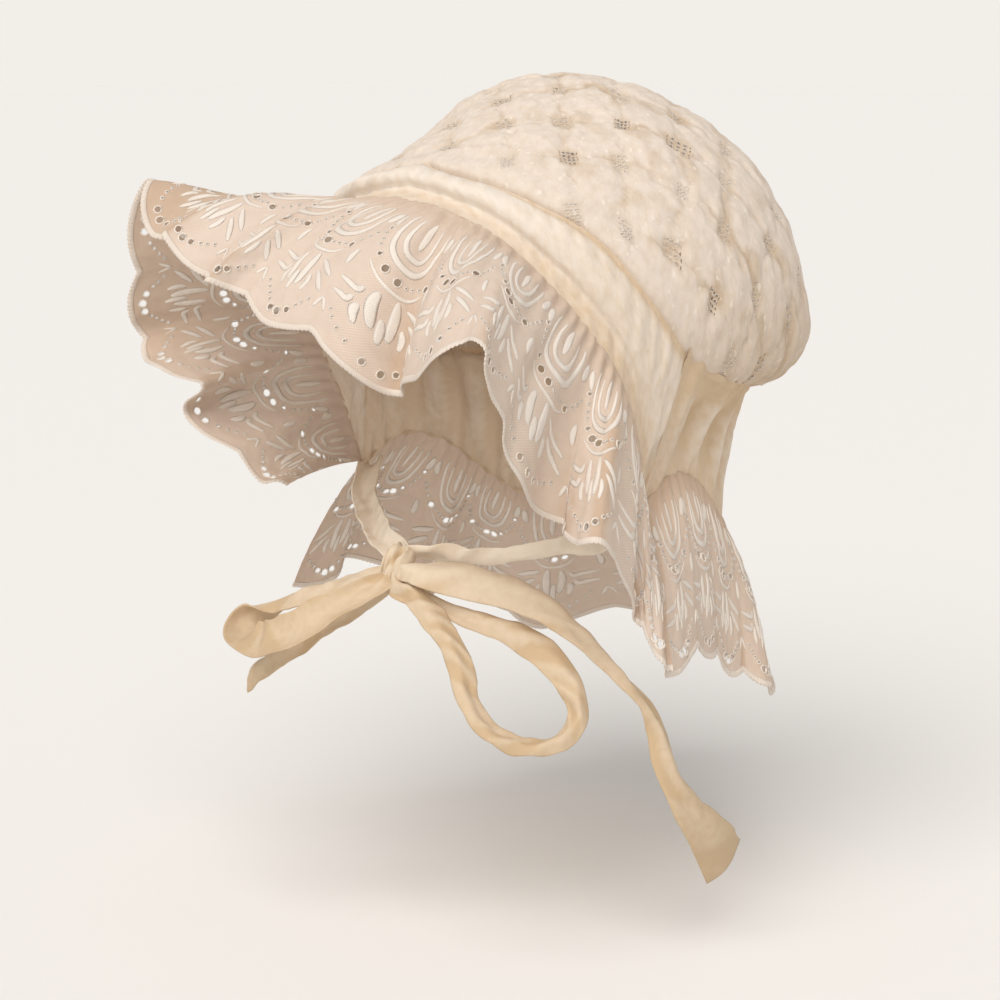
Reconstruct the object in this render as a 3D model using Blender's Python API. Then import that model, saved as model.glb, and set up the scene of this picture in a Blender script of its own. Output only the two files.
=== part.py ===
"""A baby's bonnet: a puffed openwork crown, a plain band and neck curtain, a gathered lace
frill all round the edge, and cloth ties knotted in a bow under the chin.

Metres, +Z up. The face looks along -Y and the wearer's left side is +X. The origin is the
inside of the crown's top, where the bonnet sits on a head.
"""
import math

import bmesh
import bpy
import numpy as np

# Cloth
CLOTH_WALL = 0.0012
LACE_WALL = 0.0010
SEAM_GAP = 0.0003

# Crown, band and curtain: a hollow round the head
HEAD_RADIUS = 0.068
CROWN_COLUMNS = 56
GATHERS = 28
GATHER_DEPTH = 0.0012
GATHERS_FIRST_TURN = 60.0
GATHERS_FULL_TURN = 120.0
BAND_COLUMNS = 40
BAND_ROWS = 3
BAND_PUFF = 0.0028
CURTAIN_COLUMNS = 48
CURTAIN_ROWS = 5
CURTAIN_FOLDS = 11
CURTAIN_FOLD = 0.0018
CURTAIN_DRAW = 0.0035
CURTAIN_CALM_SHARE = 0.2

# Lace frills
LACE_WIDTH = 0.055
FACE_SCALLOPS = 16
NECK_SCALLOPS = 12
SCALLOP_DEPTH = 0.0035
EYELETS_IN_SCALLOP = 3
EYELET_LENGTH = 0.0020
EYELET_WIDTH_SHARE = 0.34
EYELET_FROM_EDGE = 0.0075
LACE_ROWS = (0.0, 0.18, 0.38, 0.60)

# Ties, and the round of the chest that the bow lies on
TIE_WIDTH = 0.0068
TIE_WALL = 0.0012
TIE_CREASE = 0.0010
RINGS_IN_ROW = 2
CHEST_RADIUS = HEAD_RADIUS * 1.16
CHEST_FORWARD = HEAD_RADIUS * 0.375
CHEST_DROP = HEAD_RADIUS * 3.0

# The knot: sizes as shares of TIE_WIDTH, turn from the front and rise from level in degrees
KNOT_WIDTH = 1.30
KNOT_DEPTH = 1.10
KNOT_HEIGHT = 1.85
KNOT_STAND_OFF = 0.74
KNOT_TURN = 9.0
KNOT_RISE = 55.0
KNOT_PINCH = 0.10
KNOT_CREASES = 3
KNOT_CREASE_LEAN = 5.0
KNOT_COLUMNS = 14
KNOT_ROWS = 8

# Finishes
SHARP_ANGLE = 50.0
PUFFED_COTTON = (0.80, 0.71, 0.58)
PLAIN_COTTON = (0.78, 0.67, 0.52)
CREAM_LACE = (0.72, 0.62, 0.51)
TIE_CLOTH = (0.74, 0.61, 0.38)
COTTON_ROUGHNESS = 0.85
LACE_ROUGHNESS = 0.75
TIE_ROUGHNESS = 0.70

# The crown from its top to its edge: share of the way, then the cloth's distance from the
# middle of the head as shares of HEAD_RADIUS at the front, temple, side, quarter and back
CROWN_SECTIONS = (
    # way, front, temple, side, quarter, back
    (0.00, 0.980, 0.980, 0.980, 0.980, 0.980),
    (0.15, 0.962, 0.960, 0.978, 0.995, 0.995),
    (0.30, 0.945, 0.940, 0.975, 1.010, 1.015),
    (0.45, 0.938, 0.934, 0.990, 1.045, 1.060),
    (0.60, 0.936, 0.949, 1.010, 1.074, 1.103),
    (0.75, 0.945, 0.980, 1.022, 1.103, 1.147),
    (0.85, 0.960, 1.003, 1.022, 1.130, 1.168),
    (0.93, 0.975, 1.016, 1.005, 1.080, 1.110),
    (1.00, 0.988, 1.018, 0.965, 0.925, 0.935),
)
CROWN_TURNS = (0.0, 45.0, 90.0, 135.0, 180.0)

# Where the crown ends: turn from the front and tilt from straight up, in degrees
CROWN_EDGE = (
    # turn, tilt
    (0.0, 52.0),
    (36.0, 62.0),
    (55.0, 74.0),
    (65.0, 86.0),
    (78.0, 101.0),
    (90.0, 107.0),
    (112.0, 112.0),
    (135.0, 115.0),
    (180.0, 116.0),
)

# The front band, from the middle of the forehead to the tie's corner: the turn where it
# leaves the crown, and its seam with the frill as shares of HEAD_RADIUS from the head's middle
BAND_SECTIONS = (
    # way, crown turn, out, forward, up
    (0.00, 0.0, 0.000, 0.965, 0.500),
    (0.18, 14.0, 0.290, 0.945, 0.455),
    (0.36, 30.0, 0.540, 0.875, 0.330),
    (0.55, 46.0, 0.785, 0.725, 0.050),
    (0.72, 59.0, 0.885, 0.575, -0.215),
    (0.86, 69.0, 0.870, 0.450, -0.490),
    (1.00, 76.0, 0.824, 0.382, -0.772),
)

# The neck curtain, from the tie's corner to the nape, in the same way
CURTAIN_SECTIONS = (
    # way, crown turn, out, forward, up
    (0.00, 76.0, 0.824, 0.382, -0.772),
    (0.16, 88.0, 0.800, 0.150, -0.660),
    (0.32, 101.0, 0.750, -0.074, -0.710),
    (0.48, 114.0, 0.700, -0.265, -0.850),
    (0.66, 130.0, 0.600, -0.450, -0.990),
    (0.84, 155.0, 0.345, -0.620, -1.070),
    (1.00, 180.0, 0.000, -0.680, -1.100),
)

# The way the face frill's lace leaves its seam and ends at its scalloped edge, from the
# wearer's right corner (-1) over the forehead (0) to the left corner (1); degrees outward
# from straight ahead and upward from level
FACE_FRILL_FOLDS = (
    # way, turn at seam, rise at seam, turn at edge, rise at edge
    (-1.00, 20.0, 8.0, 22.0, -4.0),
    (-0.93, 14.0, 0.0, 18.0, -12.0),
    (-0.86, 2.0, 0.0, 8.0, -16.0),
    (-0.80, -12.0, 2.0, -2.0, -14.0),
    (-0.76, -4.0, 4.0, 8.0, -12.0),
    (-0.70, -22.0, 4.0, -6.0, -16.0),
    (-0.62, -44.0, 2.0, -32.0, -18.0),
    (-0.54, -46.0, 8.0, -32.0, -14.0),
    (-0.46, -46.0, 14.0, -34.0, -4.0),
    (-0.38, -46.0, 28.0, -36.0, 8.0),
    (-0.29, -42.0, 28.0, -36.0, -40.0),
    (-0.20, -38.0, 22.0, -38.0, -42.0),
    (-0.12, -32.0, 4.0, -36.0, -54.0),
    (-0.04, -32.0, -4.0, -38.0, -48.0),
    (0.03, -32.0, -12.0, -42.0, -62.0),
    (0.10, -22.0, -14.0, -34.0, -66.0),
    (0.15, -14.0, -16.0, -22.0, -72.0),
    (0.20, -6.0, -40.0, -16.0, -88.0),
    (0.28, 10.0, -22.0, 16.0, -70.0),
    (0.36, 24.0, -6.0, 30.0, -42.0),
    (0.42, 28.0, -4.0, 32.0, -36.0),
    (0.48, 24.0, -8.0, 20.0, -52.0),
    (0.55, 20.0, -18.0, 10.0, -68.0),
    (0.63, 17.0, -46.0, 4.0, -86.0),
    (0.72, 36.0, -24.0, 28.0, -68.0),
    (0.80, 44.0, -48.0, 32.0, -82.0),
    (0.90, 50.0, -38.0, 38.0, -72.0),
    (1.00, 60.0, -34.0, 44.0, -62.0),
)

# The same for the neck frill, from the wearer's left corner (0) round the nape to the right (1)
NECK_FRILL_FOLDS = (
    # way, turn at seam, rise at seam, turn at edge, rise at edge
    (0.00, 70.0, -44.0, 50.0, -68.0),
    (0.07, 56.0, -50.0, 32.0, -74.0),
    (0.14, 66.0, -56.0, 44.0, -90.0),
    (0.22, 66.0, -50.0, 40.0, -84.0),
    (0.30, 80.0, -44.0, 52.0, -66.0),
    (0.38, 92.0, -50.0, 66.0, -68.0),
    (0.45, 136.0, -54.0, 118.0, -68.0),
    (0.50, 172.0, -52.0, 178.0, -70.0),
    (0.57, 200.0, -44.0, 188.0, -56.0),
    (0.64, 224.0, -58.0, 236.0, -74.0),
    (0.72, 248.0, -46.0, 240.0, -60.0),
    (0.80, 262.0, -60.0, 276.0, -76.0),
    (0.87, 284.0, -46.0, 282.0, -62.0),
    (0.94, 280.0, -54.0, 288.0, -76.0),
    (1.00, 288.0, -46.0, 294.0, -70.0),
)

# Ties in the air between the corners and the knot: shares of HEAD_RADIUS from the head's
# middle, and the roll of the cloth in degrees
STRAP_RIGHT_ROUTE = (
    # out, forward, up, roll
    (-0.803, 0.366, -0.797, 30.0),
    (-0.651, 0.542, -0.880, 20.0),
    (-0.476, 0.680, -0.919, 10.0),
    (-0.292, 0.809, -0.945, 0.0),
    (-0.118, 0.928, -0.963, -10.0),
    (0.066, 1.022, -0.976, -20.0),
)
STRAP_LEFT_ROUTE = (
    # out, forward, up, roll
    (0.812, 0.376, -0.792, -30.0),
    (0.730, 0.522, -0.916, -20.0),
    (0.630, 0.627, -0.931, -10.0),
    (0.530, 0.730, -0.958, 0.0),
    (0.422, 0.826, -0.976, 0.0),
    (0.305, 0.912, -0.978, 0.0),
    (0.148, 1.008, -0.968, 0.0),
)

# Ties that lie against the round of the chest: turn from the front and rise from level in
# degrees, stand-off and width as shares of TIE_WIDTH, and roll in degrees
LOOP_RIGHT_ROUTE = (
    # turn, rise, stand-off, width, roll
    (2.5, 54.0, 0.70, 0.60, 0.0),
    (-9.0, 49.5, 0.60, 1.00, 0.0),
    (-17.0, 46.0, 0.65, 1.10, -5.0),
    (-25.0, 42.5, 0.80, 1.20, -15.0),
    (-31.0, 38.5, 1.00, 1.40, -40.0),
    (-32.5, 34.0, 1.30, 1.60, -80.0),
    (-27.0, 31.0, 1.60, 1.70, -130.0),
    (-18.0, 31.5, 1.60, 1.70, -165.0),
    (-10.0, 34.5, 1.50, 1.60, -180.0),
    (-4.5, 38.5, 1.40, 1.40, -185.0),
    (0.0, 43.0, 1.20, 1.10, -185.0),
    (4.5, 47.5, 1.00, 0.90, -185.0),
    (7.4, 51.1, 0.75, 0.60, -185.0),
)
LOOP_LEFT_ROUTE = (
    # turn, rise, stand-off, width, roll
    (11.0, 50.8, 0.80, 0.60, 0.0),
    (18.0, 49.3, 0.80, 0.80, 0.0),
    (25.5, 45.5, 0.80, 1.00, 10.0),
    (32.0, 41.0, 0.60, 0.95, 20.0),
    (35.5, 35.5, 0.50, 0.90, 20.0),
    (37.5, 29.5, 0.45, 0.90, 30.0),
    (41.0, 24.5, 0.45, 0.90, 40.0),
    (45.5, 21.5, 0.45, 0.85, 40.0),
    (51.0, 20.3, 0.45, 0.80, 40.0),
    (56.5, 21.0, 0.45, 0.75, 40.0),
    (60.0, 24.0, 0.45, 0.75, 30.0),
    (60.8, 28.0, 0.45, 0.80, 20.0),
    (59.3, 32.5, 0.45, 1.00, 10.0),
    (56.5, 37.0, 0.40, 1.20, 0.0),
    (52.0, 41.0, 0.35, 1.20, 0.0),
    (45.0, 44.0, 0.30, 1.00, 0.0),
    (36.0, 46.2, 0.25, 0.80, 0.0),
    (26.0, 49.5, 0.15, 0.50, 0.0),
    (14.0, 53.4, 0.15, 0.40, 0.0),
)
TAIL_LEFT_ROUTE = (
    # turn, rise, stand-off, width, roll
    (14.0, 53.6, 1.10, 0.70, 10.0),
    (18.5, 53.6, 1.20, 1.20, 10.0),
    (27.0, 52.8, 1.30, 1.60, 0.0),
    (38.0, 51.5, 1.20, 1.60, 0.0),
    (48.0, 49.5, 1.10, 1.50, 0.0),
    (57.0, 46.5, 0.90, 1.40, 10.0),
    (64.0, 41.5, 0.70, 1.20, 20.0),
    (69.5, 36.0, 0.55, 1.00, 30.0),
    (74.0, 30.5, 0.50, 0.90, 40.0),
    (77.5, 26.0, 0.50, 0.90, 30.0),
    (79.5, 20.5, 0.45, 0.95, 10.0),
    (80.0, 14.0, 0.40, 1.00, 0.0),
    (82.0, 7.5, 0.40, 1.10, 0.0),
    (86.5, 1.0, 0.40, 1.40, 0.0),
    (93.0, -5.5, 0.40, 2.00, -10.0),
    (100.0, -12.5, 0.40, 2.20, -10.0),
)
TAIL_RIGHT_ROUTE = (
    # turn, rise, stand-off, width, roll
    (4.5, 53.0, 0.15, 0.50, 0.0),
    (-2.5, 47.5, 0.10, 0.70, 0.0),
    (-9.0, 42.0, 0.10, 0.80, 0.0),
    (-16.0, 36.0, 0.10, 0.80, 0.0),
    (-24.0, 30.0, 0.15, 0.85, 0.0),
    (-32.0, 25.0, 0.15, 0.90, 0.0),
    (-37.0, 21.5, 0.15, 0.90, 0.0),
)

TOP_SHARE = CROWN_SECTIONS[0][1]
HEAD_MIDDLE = np.array((0.0, 0.0, CLOTH_WALL / 2 - HEAD_RADIUS * TOP_SHARE))
CHEST_MIDDLE = np.array((0.0, -CHEST_FORWARD, -CHEST_DROP))


def table(rows):
    """The rows of a short table as an array."""
    return np.array(rows, dtype=float)


def smooth(at, places, values):
    """Values between the rows of a table, by a smooth curve through all of them."""
    at = np.asarray(at, dtype=float)
    steps = np.diff(places)
    slopes = np.diff(values, axis=0) / steps[:, None]
    ends = np.empty_like(values)
    ends[1:-1] = (slopes[:-1] * steps[1:, None] + slopes[1:] * steps[:-1, None]) / (
        steps[1:] + steps[:-1]
    )[:, None]
    ends[0] = slopes[0]
    ends[-1] = slopes[-1]
    row = np.clip(np.searchsorted(places, at, side="right") - 1, 0, len(steps) - 1)
    share = ((at - places[row]) / steps[row])[..., None]
    width = steps[row][..., None]
    start = (1 + 2 * share) * (1 - share) ** 2 * values[row]
    stop = share**2 * (3 - 2 * share) * values[row + 1]
    lean = share * (1 - share) ** 2 * width * ends[row] - share**2 * (1 - share) * width * ends[row + 1]
    return start + stop + lean


def columns_of(rows):
    """A table's first column, and the others beside it."""
    data = table(rows)
    return data[:, 0], data[:, 1:]


def direction(turn, rise):
    """The unit vector at a turn from straight ahead, towards the wearer's left, and a rise."""
    turn, rise = np.radians(turn), np.radians(rise)
    flat = np.cos(rise)
    return np.stack((flat * np.sin(turn), -flat * np.cos(turn), np.sin(rise)), axis=-1)


def crown_edge_tilt(turn):
    """The crown's edge: its tilt from straight up at each turn from the front."""
    turns, tilts = columns_of(CROWN_EDGE)
    return smooth(np.abs(turn), turns, tilts)[..., 0]


def crown_radius(way, turn):
    """The crown cloth's distance from the middle of the head."""
    ways, shares = columns_of(CROWN_SECTIONS)
    across = smooth(way, ways, shares)
    spacing = CROWN_TURNS[1] - CROWN_TURNS[0]
    place = np.abs(turn) / spacing
    low = np.minimum(place.astype(int), len(CROWN_TURNS) - 2)
    blend = (1 - np.cos(math.pi * (place - low))) / 2
    here = np.take_along_axis(across, low[..., None], axis=-1)[..., 0]
    after = np.take_along_axis(across, low[..., None] + 1, axis=-1)[..., 0]
    return HEAD_RADIUS * (here + (after - here) * blend)


def crown_point(way, turn):
    """The crown cloth's middle surface, with soft gathers towards its back edge."""
    tilt = crown_edge_tilt(turn) * way
    behind = (np.abs(turn) - GATHERS_FIRST_TURN) / (GATHERS_FULL_TURN - GATHERS_FIRST_TURN)
    gathers = GATHER_DEPTH * np.cos(np.radians(turn) * GATHERS) * np.clip(behind, 0, 1) * way**3
    radius = crown_radius(way, turn) + gathers * np.sin(math.pi * way)
    return HEAD_MIDDLE + radius[..., None] * direction(turn, 90 - tilt)


def new_object(name, mesh, colour, roughness):
    """An object of its own, with its own material."""
    material = bpy.data.materials.new(name + "_finish")
    material.use_nodes = True
    shader = material.node_tree.nodes["Principled BSDF"]
    shader.inputs["Base Color"].default_value = (*colour, 1)
    shader.inputs["Roughness"].default_value = roughness
    shader.inputs["Metallic"].default_value = 0
    mesh.materials.append(material)
    mesh.shade_smooth()
    mesh.set_sharp_from_angle(angle=math.radians(SHARP_ANGLE))
    made = bpy.data.objects.new(name, mesh)
    bpy.context.scene.collection.objects.link(made)
    return made


def cloth(name, points, wall, finish, closed=False, pole=None, holes=None):
    """A cloth wall round a grid of points of its middle surface.

    points is a grid of columns by rows, finish its colour and roughness, closed joins its last
    column to its first, pole is a point that closes its first row, and holes marks the cells
    that are left open.
    """
    columns, rows = points.shape[:2]
    numbers = np.arange(columns * rows).reshape(columns, rows)
    beside = np.roll(numbers, -1, axis=0) if closed else numbers[1:]
    here = numbers if closed else numbers[:-1]
    first = np.stack((here[:, :-1], beside[:, :-1], beside[:, 1:]), axis=-1)
    second = np.stack((here[:, :-1], beside[:, 1:], here[:, 1:]), axis=-1)
    kept = np.ones(first.shape[:2], dtype=bool) if holes is None else ~holes
    faces = np.concatenate((first[kept], second[kept])).tolist()
    corners = points.reshape(-1, 3).tolist()
    if pole is not None:
        corners.append(tuple(pole))
        faces += [(a, len(corners) - 1, b) for a, b in zip(here[:, 0].tolist(), beside[:, 0].tolist())]
    mesh = bpy.data.meshes.new(name)
    mesh.from_pydata(corners, [], faces)
    shell = bmesh.new()
    shell.from_mesh(mesh)
    bmesh.ops.recalc_face_normals(shell, faces=shell.faces)
    shell.to_mesh(mesh)
    shell.free()
    made = new_object(name, mesh, *finish)
    thickness = made.modifiers.new("wall", "SOLIDIFY")
    thickness.thickness = wall
    thickness.offset = 0
    thickness.use_rim = True
    return made


def make_crown():
    """The puffed crown, from its top to the edge that the band and curtain are sewn to."""
    turns = np.linspace(-180, 180, CROWN_COLUMNS, endpoint=False)
    ways = table(CROWN_SECTIONS)[1:, 0]
    turn, way = np.meshgrid(turns, ways, indexing="ij")
    top = HEAD_MIDDLE + (0, 0, HEAD_RADIUS * TOP_SHARE)
    points = crown_point(way, turn)
    finish = PUFFED_COTTON, COTTON_ROUGHNESS
    return cloth("crown", points, CLOTH_WALL, finish, closed=True, pole=top)


def sewn_edges(rows, way, side):
    """The crown's edge and the outer seam of a plain piece, at each way along it."""
    ways, values = columns_of(rows)
    values = smooth(way, ways, values)
    turn = values[..., 0] * side
    edge = crown_point(np.ones_like(turn), turn)
    reach = values[..., 1:] * HEAD_RADIUS
    seam = HEAD_MIDDLE + np.stack((reach[..., 0] * side, -reach[..., 1], reach[..., 2]), axis=-1)
    return edge, seam


def plain_piece(rows, way, side, shares):
    """The ruled surface between the crown's edge and the outer seam, clear of both."""
    edge, seam = sewn_edges(rows, way, side)
    across = seam - edge
    depth = np.linalg.norm(across, axis=-1, keepdims=True)
    clear = (CLOTH_WALL / 2 + SEAM_GAP) / depth
    share = clear[:, None] + (1 - clear[:, None]) * shares[None, :, None]
    return edge[:, None] + across[:, None] * share


def outward(points):
    """The unit vector away from the middle of the head at each point."""
    away = points - HEAD_MIDDLE
    return away / np.linalg.norm(away, axis=-1, keepdims=True)


def make_front_band():
    """The plain band over the forehead and cheeks, puffed between its two seams."""
    ways = np.linspace(-1, 1, BAND_COLUMNS + 1)
    shares = np.linspace(0, 1, BAND_ROWS + 1)
    points = plain_piece(BAND_SECTIONS, np.abs(ways), np.where(ways < 0, -1.0, 1.0), shares)
    fullness = np.sqrt(np.abs(np.cos(ways * math.pi / 2)))
    puff = BAND_PUFF * np.sin(math.pi * shares)[None, :] * fullness[:, None]
    points = points + outward(points) * puff[..., None]
    return cloth("front_band", points, CLOTH_WALL, (PLAIN_COTTON, COTTON_ROUGHNESS))


def make_neck_curtain():
    """The plain curtain from the crown down to the neck, hanging in soft folds."""
    start = SEAM_GAP * 2 / HEAD_RADIUS
    ways = np.linspace(-1 + start, 1 - start, CURTAIN_COLUMNS + 1)
    shares = np.linspace(0, 1, CURTAIN_ROWS + 1)
    side = np.where(ways < 0, -1.0, 1.0)
    points = plain_piece(CURTAIN_SECTIONS, 1 - np.abs(ways), -side, shares)
    hang = np.sin(math.pi * shares)[None, :]
    calm = np.clip((1 - np.abs(ways)) / CURTAIN_CALM_SHARE, 0, 1)[:, None]
    fold = CURTAIN_FOLD * np.cos(ways * math.pi * CURTAIN_FOLDS)[:, None] * hang * calm
    draw = CURTAIN_DRAW * hang * calm
    points = points + outward(points) * (fold - draw)[..., None]
    return cloth("neck_curtain", points, CLOTH_WALL, (PLAIN_COTTON, COTTON_ROUGHNESS))


def lace_rows():
    """The rows across the lace as shares of its width, and which of them the eyelets lie in."""
    near = 1 - EYELET_FROM_EDGE / LACE_WIDTH
    far = near + EYELET_LENGTH / LACE_WIDTH
    return np.array((*LACE_ROWS, near, far, 1.0)), len(LACE_ROWS)


def lace_columns(scallops):
    """The columns along the lace: wide ones, and narrow ones that the eyelets lie in."""
    pairs = scallops * EYELETS_IN_SCALLOP
    starts = np.arange(pairs) / pairs
    narrow = starts + (1 - EYELET_WIDTH_SHARE) / 2 / pairs
    stops = narrow + EYELET_WIDTH_SHARE / pairs
    places = np.sort(np.concatenate(((0.0,), narrow, stops, (1.0,))))
    holes = np.zeros(len(places) - 1, dtype=bool)
    holes[1::2] = True
    return places, holes


def lace_strip(name, seam, lean, scallops):
    """A strip of lace: from its seam it follows the lean of its folds, turning evenly to its
    scalloped edge, with a row of eyelets along the scallops.

    seam gives points of the seam at shares of the lace's length, and lean the four angles.
    """
    places, narrow = lace_columns(scallops)
    rows, eyelet_row = lace_rows()
    angles = lean(places)
    start = seam(places)
    scallop = np.abs(np.sin(math.pi * places * scallops)) - 1
    reach = LACE_WIDTH + SCALLOP_DEPTH * scallop
    first = (CLOTH_WALL / 2 + SEAM_GAP) / LACE_WIDTH
    shares = first + (1 - first) * rows
    points = np.empty((len(places), len(rows), 3))
    points[:, 0] = start + direction(angles[:, 0], angles[:, 1]) * (shares[0] * reach)[:, None]
    for row in range(1, len(rows)):
        middle = (shares[row] + shares[row - 1]) / 2
        turned = angles[:, :2] + (angles[:, 2:] - angles[:, :2]) * middle
        step = (shares[row] - shares[row - 1]) * reach
        points[:, row] = points[:, row - 1] + direction(turned[:, 0], turned[:, 1]) * step[:, None]
    holes = np.zeros((len(narrow), len(rows) - 1), dtype=bool)
    holes[:, eyelet_row] = narrow
    return cloth(name, points, LACE_WALL, (CREAM_LACE, LACE_ROUGHNESS), holes=holes)


def make_face_frill():
    """The lace frill round the face, from one tie's corner over the forehead to the other."""

    def seam(places):
        ways = (places * 2 - 1) * (1 - SEAM_GAP / HEAD_RADIUS)
        return sewn_edges(BAND_SECTIONS, np.abs(ways), np.where(ways < 0, -1.0, 1.0))[1]

    def lean(places):
        return smooth(places * 2 - 1, *columns_of(FACE_FRILL_FOLDS))

    return lace_strip("face_frill", seam, lean, FACE_SCALLOPS)


def make_neck_frill():
    """The lace frill below the neck curtain, from the left corner round the nape."""
    inset = (LACE_WALL + SEAM_GAP) / HEAD_RADIUS

    def seam(places):
        ways = (places * 2 - 1) * (1 - inset)
        return sewn_edges(CURTAIN_SECTIONS, 1 - np.abs(ways), np.where(ways < 0, 1.0, -1.0))[1]

    def lean(places):
        return smooth(places, *columns_of(NECK_FRILL_FOLDS))

    return lace_strip("neck_frill", seam, lean, NECK_SCALLOPS)


def tie(name, route, widths, rolls, away):
    """A flat cloth tie along a smooth route, softly creased along its middle.

    away gives the unit vector that the tie's face looks along at each point of the route.
    """
    along = np.gradient(route, axis=0)
    along /= np.linalg.norm(along, axis=-1, keepdims=True)
    across = np.cross(along, away)
    across /= np.linalg.norm(across, axis=-1, keepdims=True)
    face = np.cross(across, along)
    roll = np.radians(rolls)[:, None]
    flat = across * np.cos(roll) + face * np.sin(roll)
    raised = face * np.cos(roll) - across * np.sin(roll)
    half = widths[:, None] / 2
    points = np.stack((route - flat * half, route + raised * TIE_CREASE, route + flat * half), axis=1)
    return cloth(name, points, TIE_WALL, (TIE_CLOTH, TIE_ROUGHNESS))


def resampled(rows):
    """A route's table as a smooth curve through its rows, with rings between them."""
    values = table(rows)
    places = np.linspace(0, 1, len(values))
    return smooth(np.linspace(0, 1, len(values) * RINGS_IN_ROW), places, values)


def make_strap(name, rows):
    """A tie through the air, from its corner to the knot."""
    values = resampled(rows)
    points = HEAD_MIDDLE + values[:, :3] * HEAD_RADIUS * (1, -1, 1)
    widths = np.full(len(points), TIE_WIDTH)
    return tie(name, points, widths, values[:, 3], outward(points))


def make_lying_tie(name, rows):
    """A loop or tail of the bow, lying against the round of the chest."""
    values = resampled(rows)
    away = direction(values[:, 0], values[:, 1])
    height = CHEST_RADIUS + values[:, 2] * TIE_WIDTH
    points = CHEST_MIDDLE + away * height[:, None]
    return tie(name, points, values[:, 3] * TIE_WIDTH, values[:, 4], away)


def make_knot():
    """The knot of the bow: a small wrapped lump with slanting creases."""
    away = direction(KNOT_TURN, KNOT_RISE)
    ahead = direction(KNOT_TURN, 0)
    middle = CHEST_MIDDLE + away * (CHEST_RADIUS + KNOT_STAND_OFF * TIE_WIDTH)
    side = np.cross(ahead, (0, 0, 1))
    mesh = bpy.data.meshes.new("bow_knot")
    lump = bmesh.new()
    bmesh.ops.create_uvsphere(lump, u_segments=KNOT_COLUMNS, v_segments=KNOT_ROWS, radius=0.5)
    for corner in lump.verts:
        out, forward, up = corner.co
        turn = math.atan2(forward, out)
        pinch = 1 + KNOT_PINCH * math.cos(KNOT_CREASES * turn + KNOT_CREASE_LEAN * up)
        place = side * (out * KNOT_WIDTH * pinch) + ahead * (forward * KNOT_DEPTH * pinch)
        place[2] += up * KNOT_HEIGHT
        corner.co = middle + place * TIE_WIDTH
    bmesh.ops.recalc_face_normals(lump, faces=lump.faces)
    lump.to_mesh(mesh)
    lump.free()
    return new_object("bow_knot", mesh, TIE_CLOTH, TIE_ROUGHNESS)


def main():
    for old in list(bpy.data.objects):
        bpy.data.objects.remove(old, do_unlink=True)
    make_crown()
    make_front_band()
    make_neck_curtain()
    make_face_frill()
    make_neck_frill()
    make_strap("strap_right", STRAP_RIGHT_ROUTE)
    make_strap("strap_left", STRAP_LEFT_ROUTE)
    make_knot()
    make_lying_tie("loop_right", LOOP_RIGHT_ROUTE)
    make_lying_tie("loop_left", LOOP_LEFT_ROUTE)
    make_lying_tie("tail_left", TAIL_LEFT_ROUTE)
    make_lying_tie("tail_right", TAIL_RIGHT_ROUTE)


main()
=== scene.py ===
"""Dresses the baby's bonnet: a puffed openwork crown, a pleated band and neck curtain, two
gathered lace frills and cloth ties knotted in a bow.

Metres, +Z up. The face looks along -Y and the wearer's left side is +X.
"""
from __future__ import annotations

import itertools
import logging
import math
from collections.abc import Callable
from dataclasses import dataclass
from enum import Enum

import bpy
import numpy as np
from mathutils import Matrix


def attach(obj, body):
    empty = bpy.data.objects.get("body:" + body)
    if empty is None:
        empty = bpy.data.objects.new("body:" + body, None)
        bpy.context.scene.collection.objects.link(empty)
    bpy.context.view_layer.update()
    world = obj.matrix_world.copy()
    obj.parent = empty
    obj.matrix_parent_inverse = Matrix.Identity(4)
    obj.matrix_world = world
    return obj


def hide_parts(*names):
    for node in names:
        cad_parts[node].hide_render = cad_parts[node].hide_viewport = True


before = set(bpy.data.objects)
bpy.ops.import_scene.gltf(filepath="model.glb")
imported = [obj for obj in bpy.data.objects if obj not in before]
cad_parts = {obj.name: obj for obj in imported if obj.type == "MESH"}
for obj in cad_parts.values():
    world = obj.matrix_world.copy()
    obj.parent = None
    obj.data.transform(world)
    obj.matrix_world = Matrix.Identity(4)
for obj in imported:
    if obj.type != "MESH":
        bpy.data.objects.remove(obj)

BODY = "root"
LOG = logging.getLogger("bonnet")

HEAD_RADIUS = 0.068
CLOTH_WALL = 0.0012
LACE_WIDTH = 0.055
SCALLOP_DEPTH = 0.0035
FACE_SCALLOPS = 16
NECK_SCALLOPS = 12
TIE_WIDTH = 0.0068
NARROW_STRIP = 0.010
WIDE_STRIP = 0.013
CHEST_RADIUS = HEAD_RADIUS * 1.16
CHEST_FORWARD = HEAD_RADIUS * 0.375
CHEST_DROP = HEAD_RADIUS * 3.0

Numbers = np.ndarray
AlongSeam = Callable[[Numbers], Numbers]
Triple = tuple[float, float, float]
Piece = bpy.types.Object
Material = bpy.types.Material
Socket = bpy.types.NodeSocket
Node = bpy.types.Node


class Slot(Enum):
    """The record's material slots."""

    PUFFED_COTTON = "puffed_cotton"
    PLAIN_COTTON = "plain_cotton"
    CREAM_LACE = "cream_lace"
    TIE_CLOTH = "tie_cloth"


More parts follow.
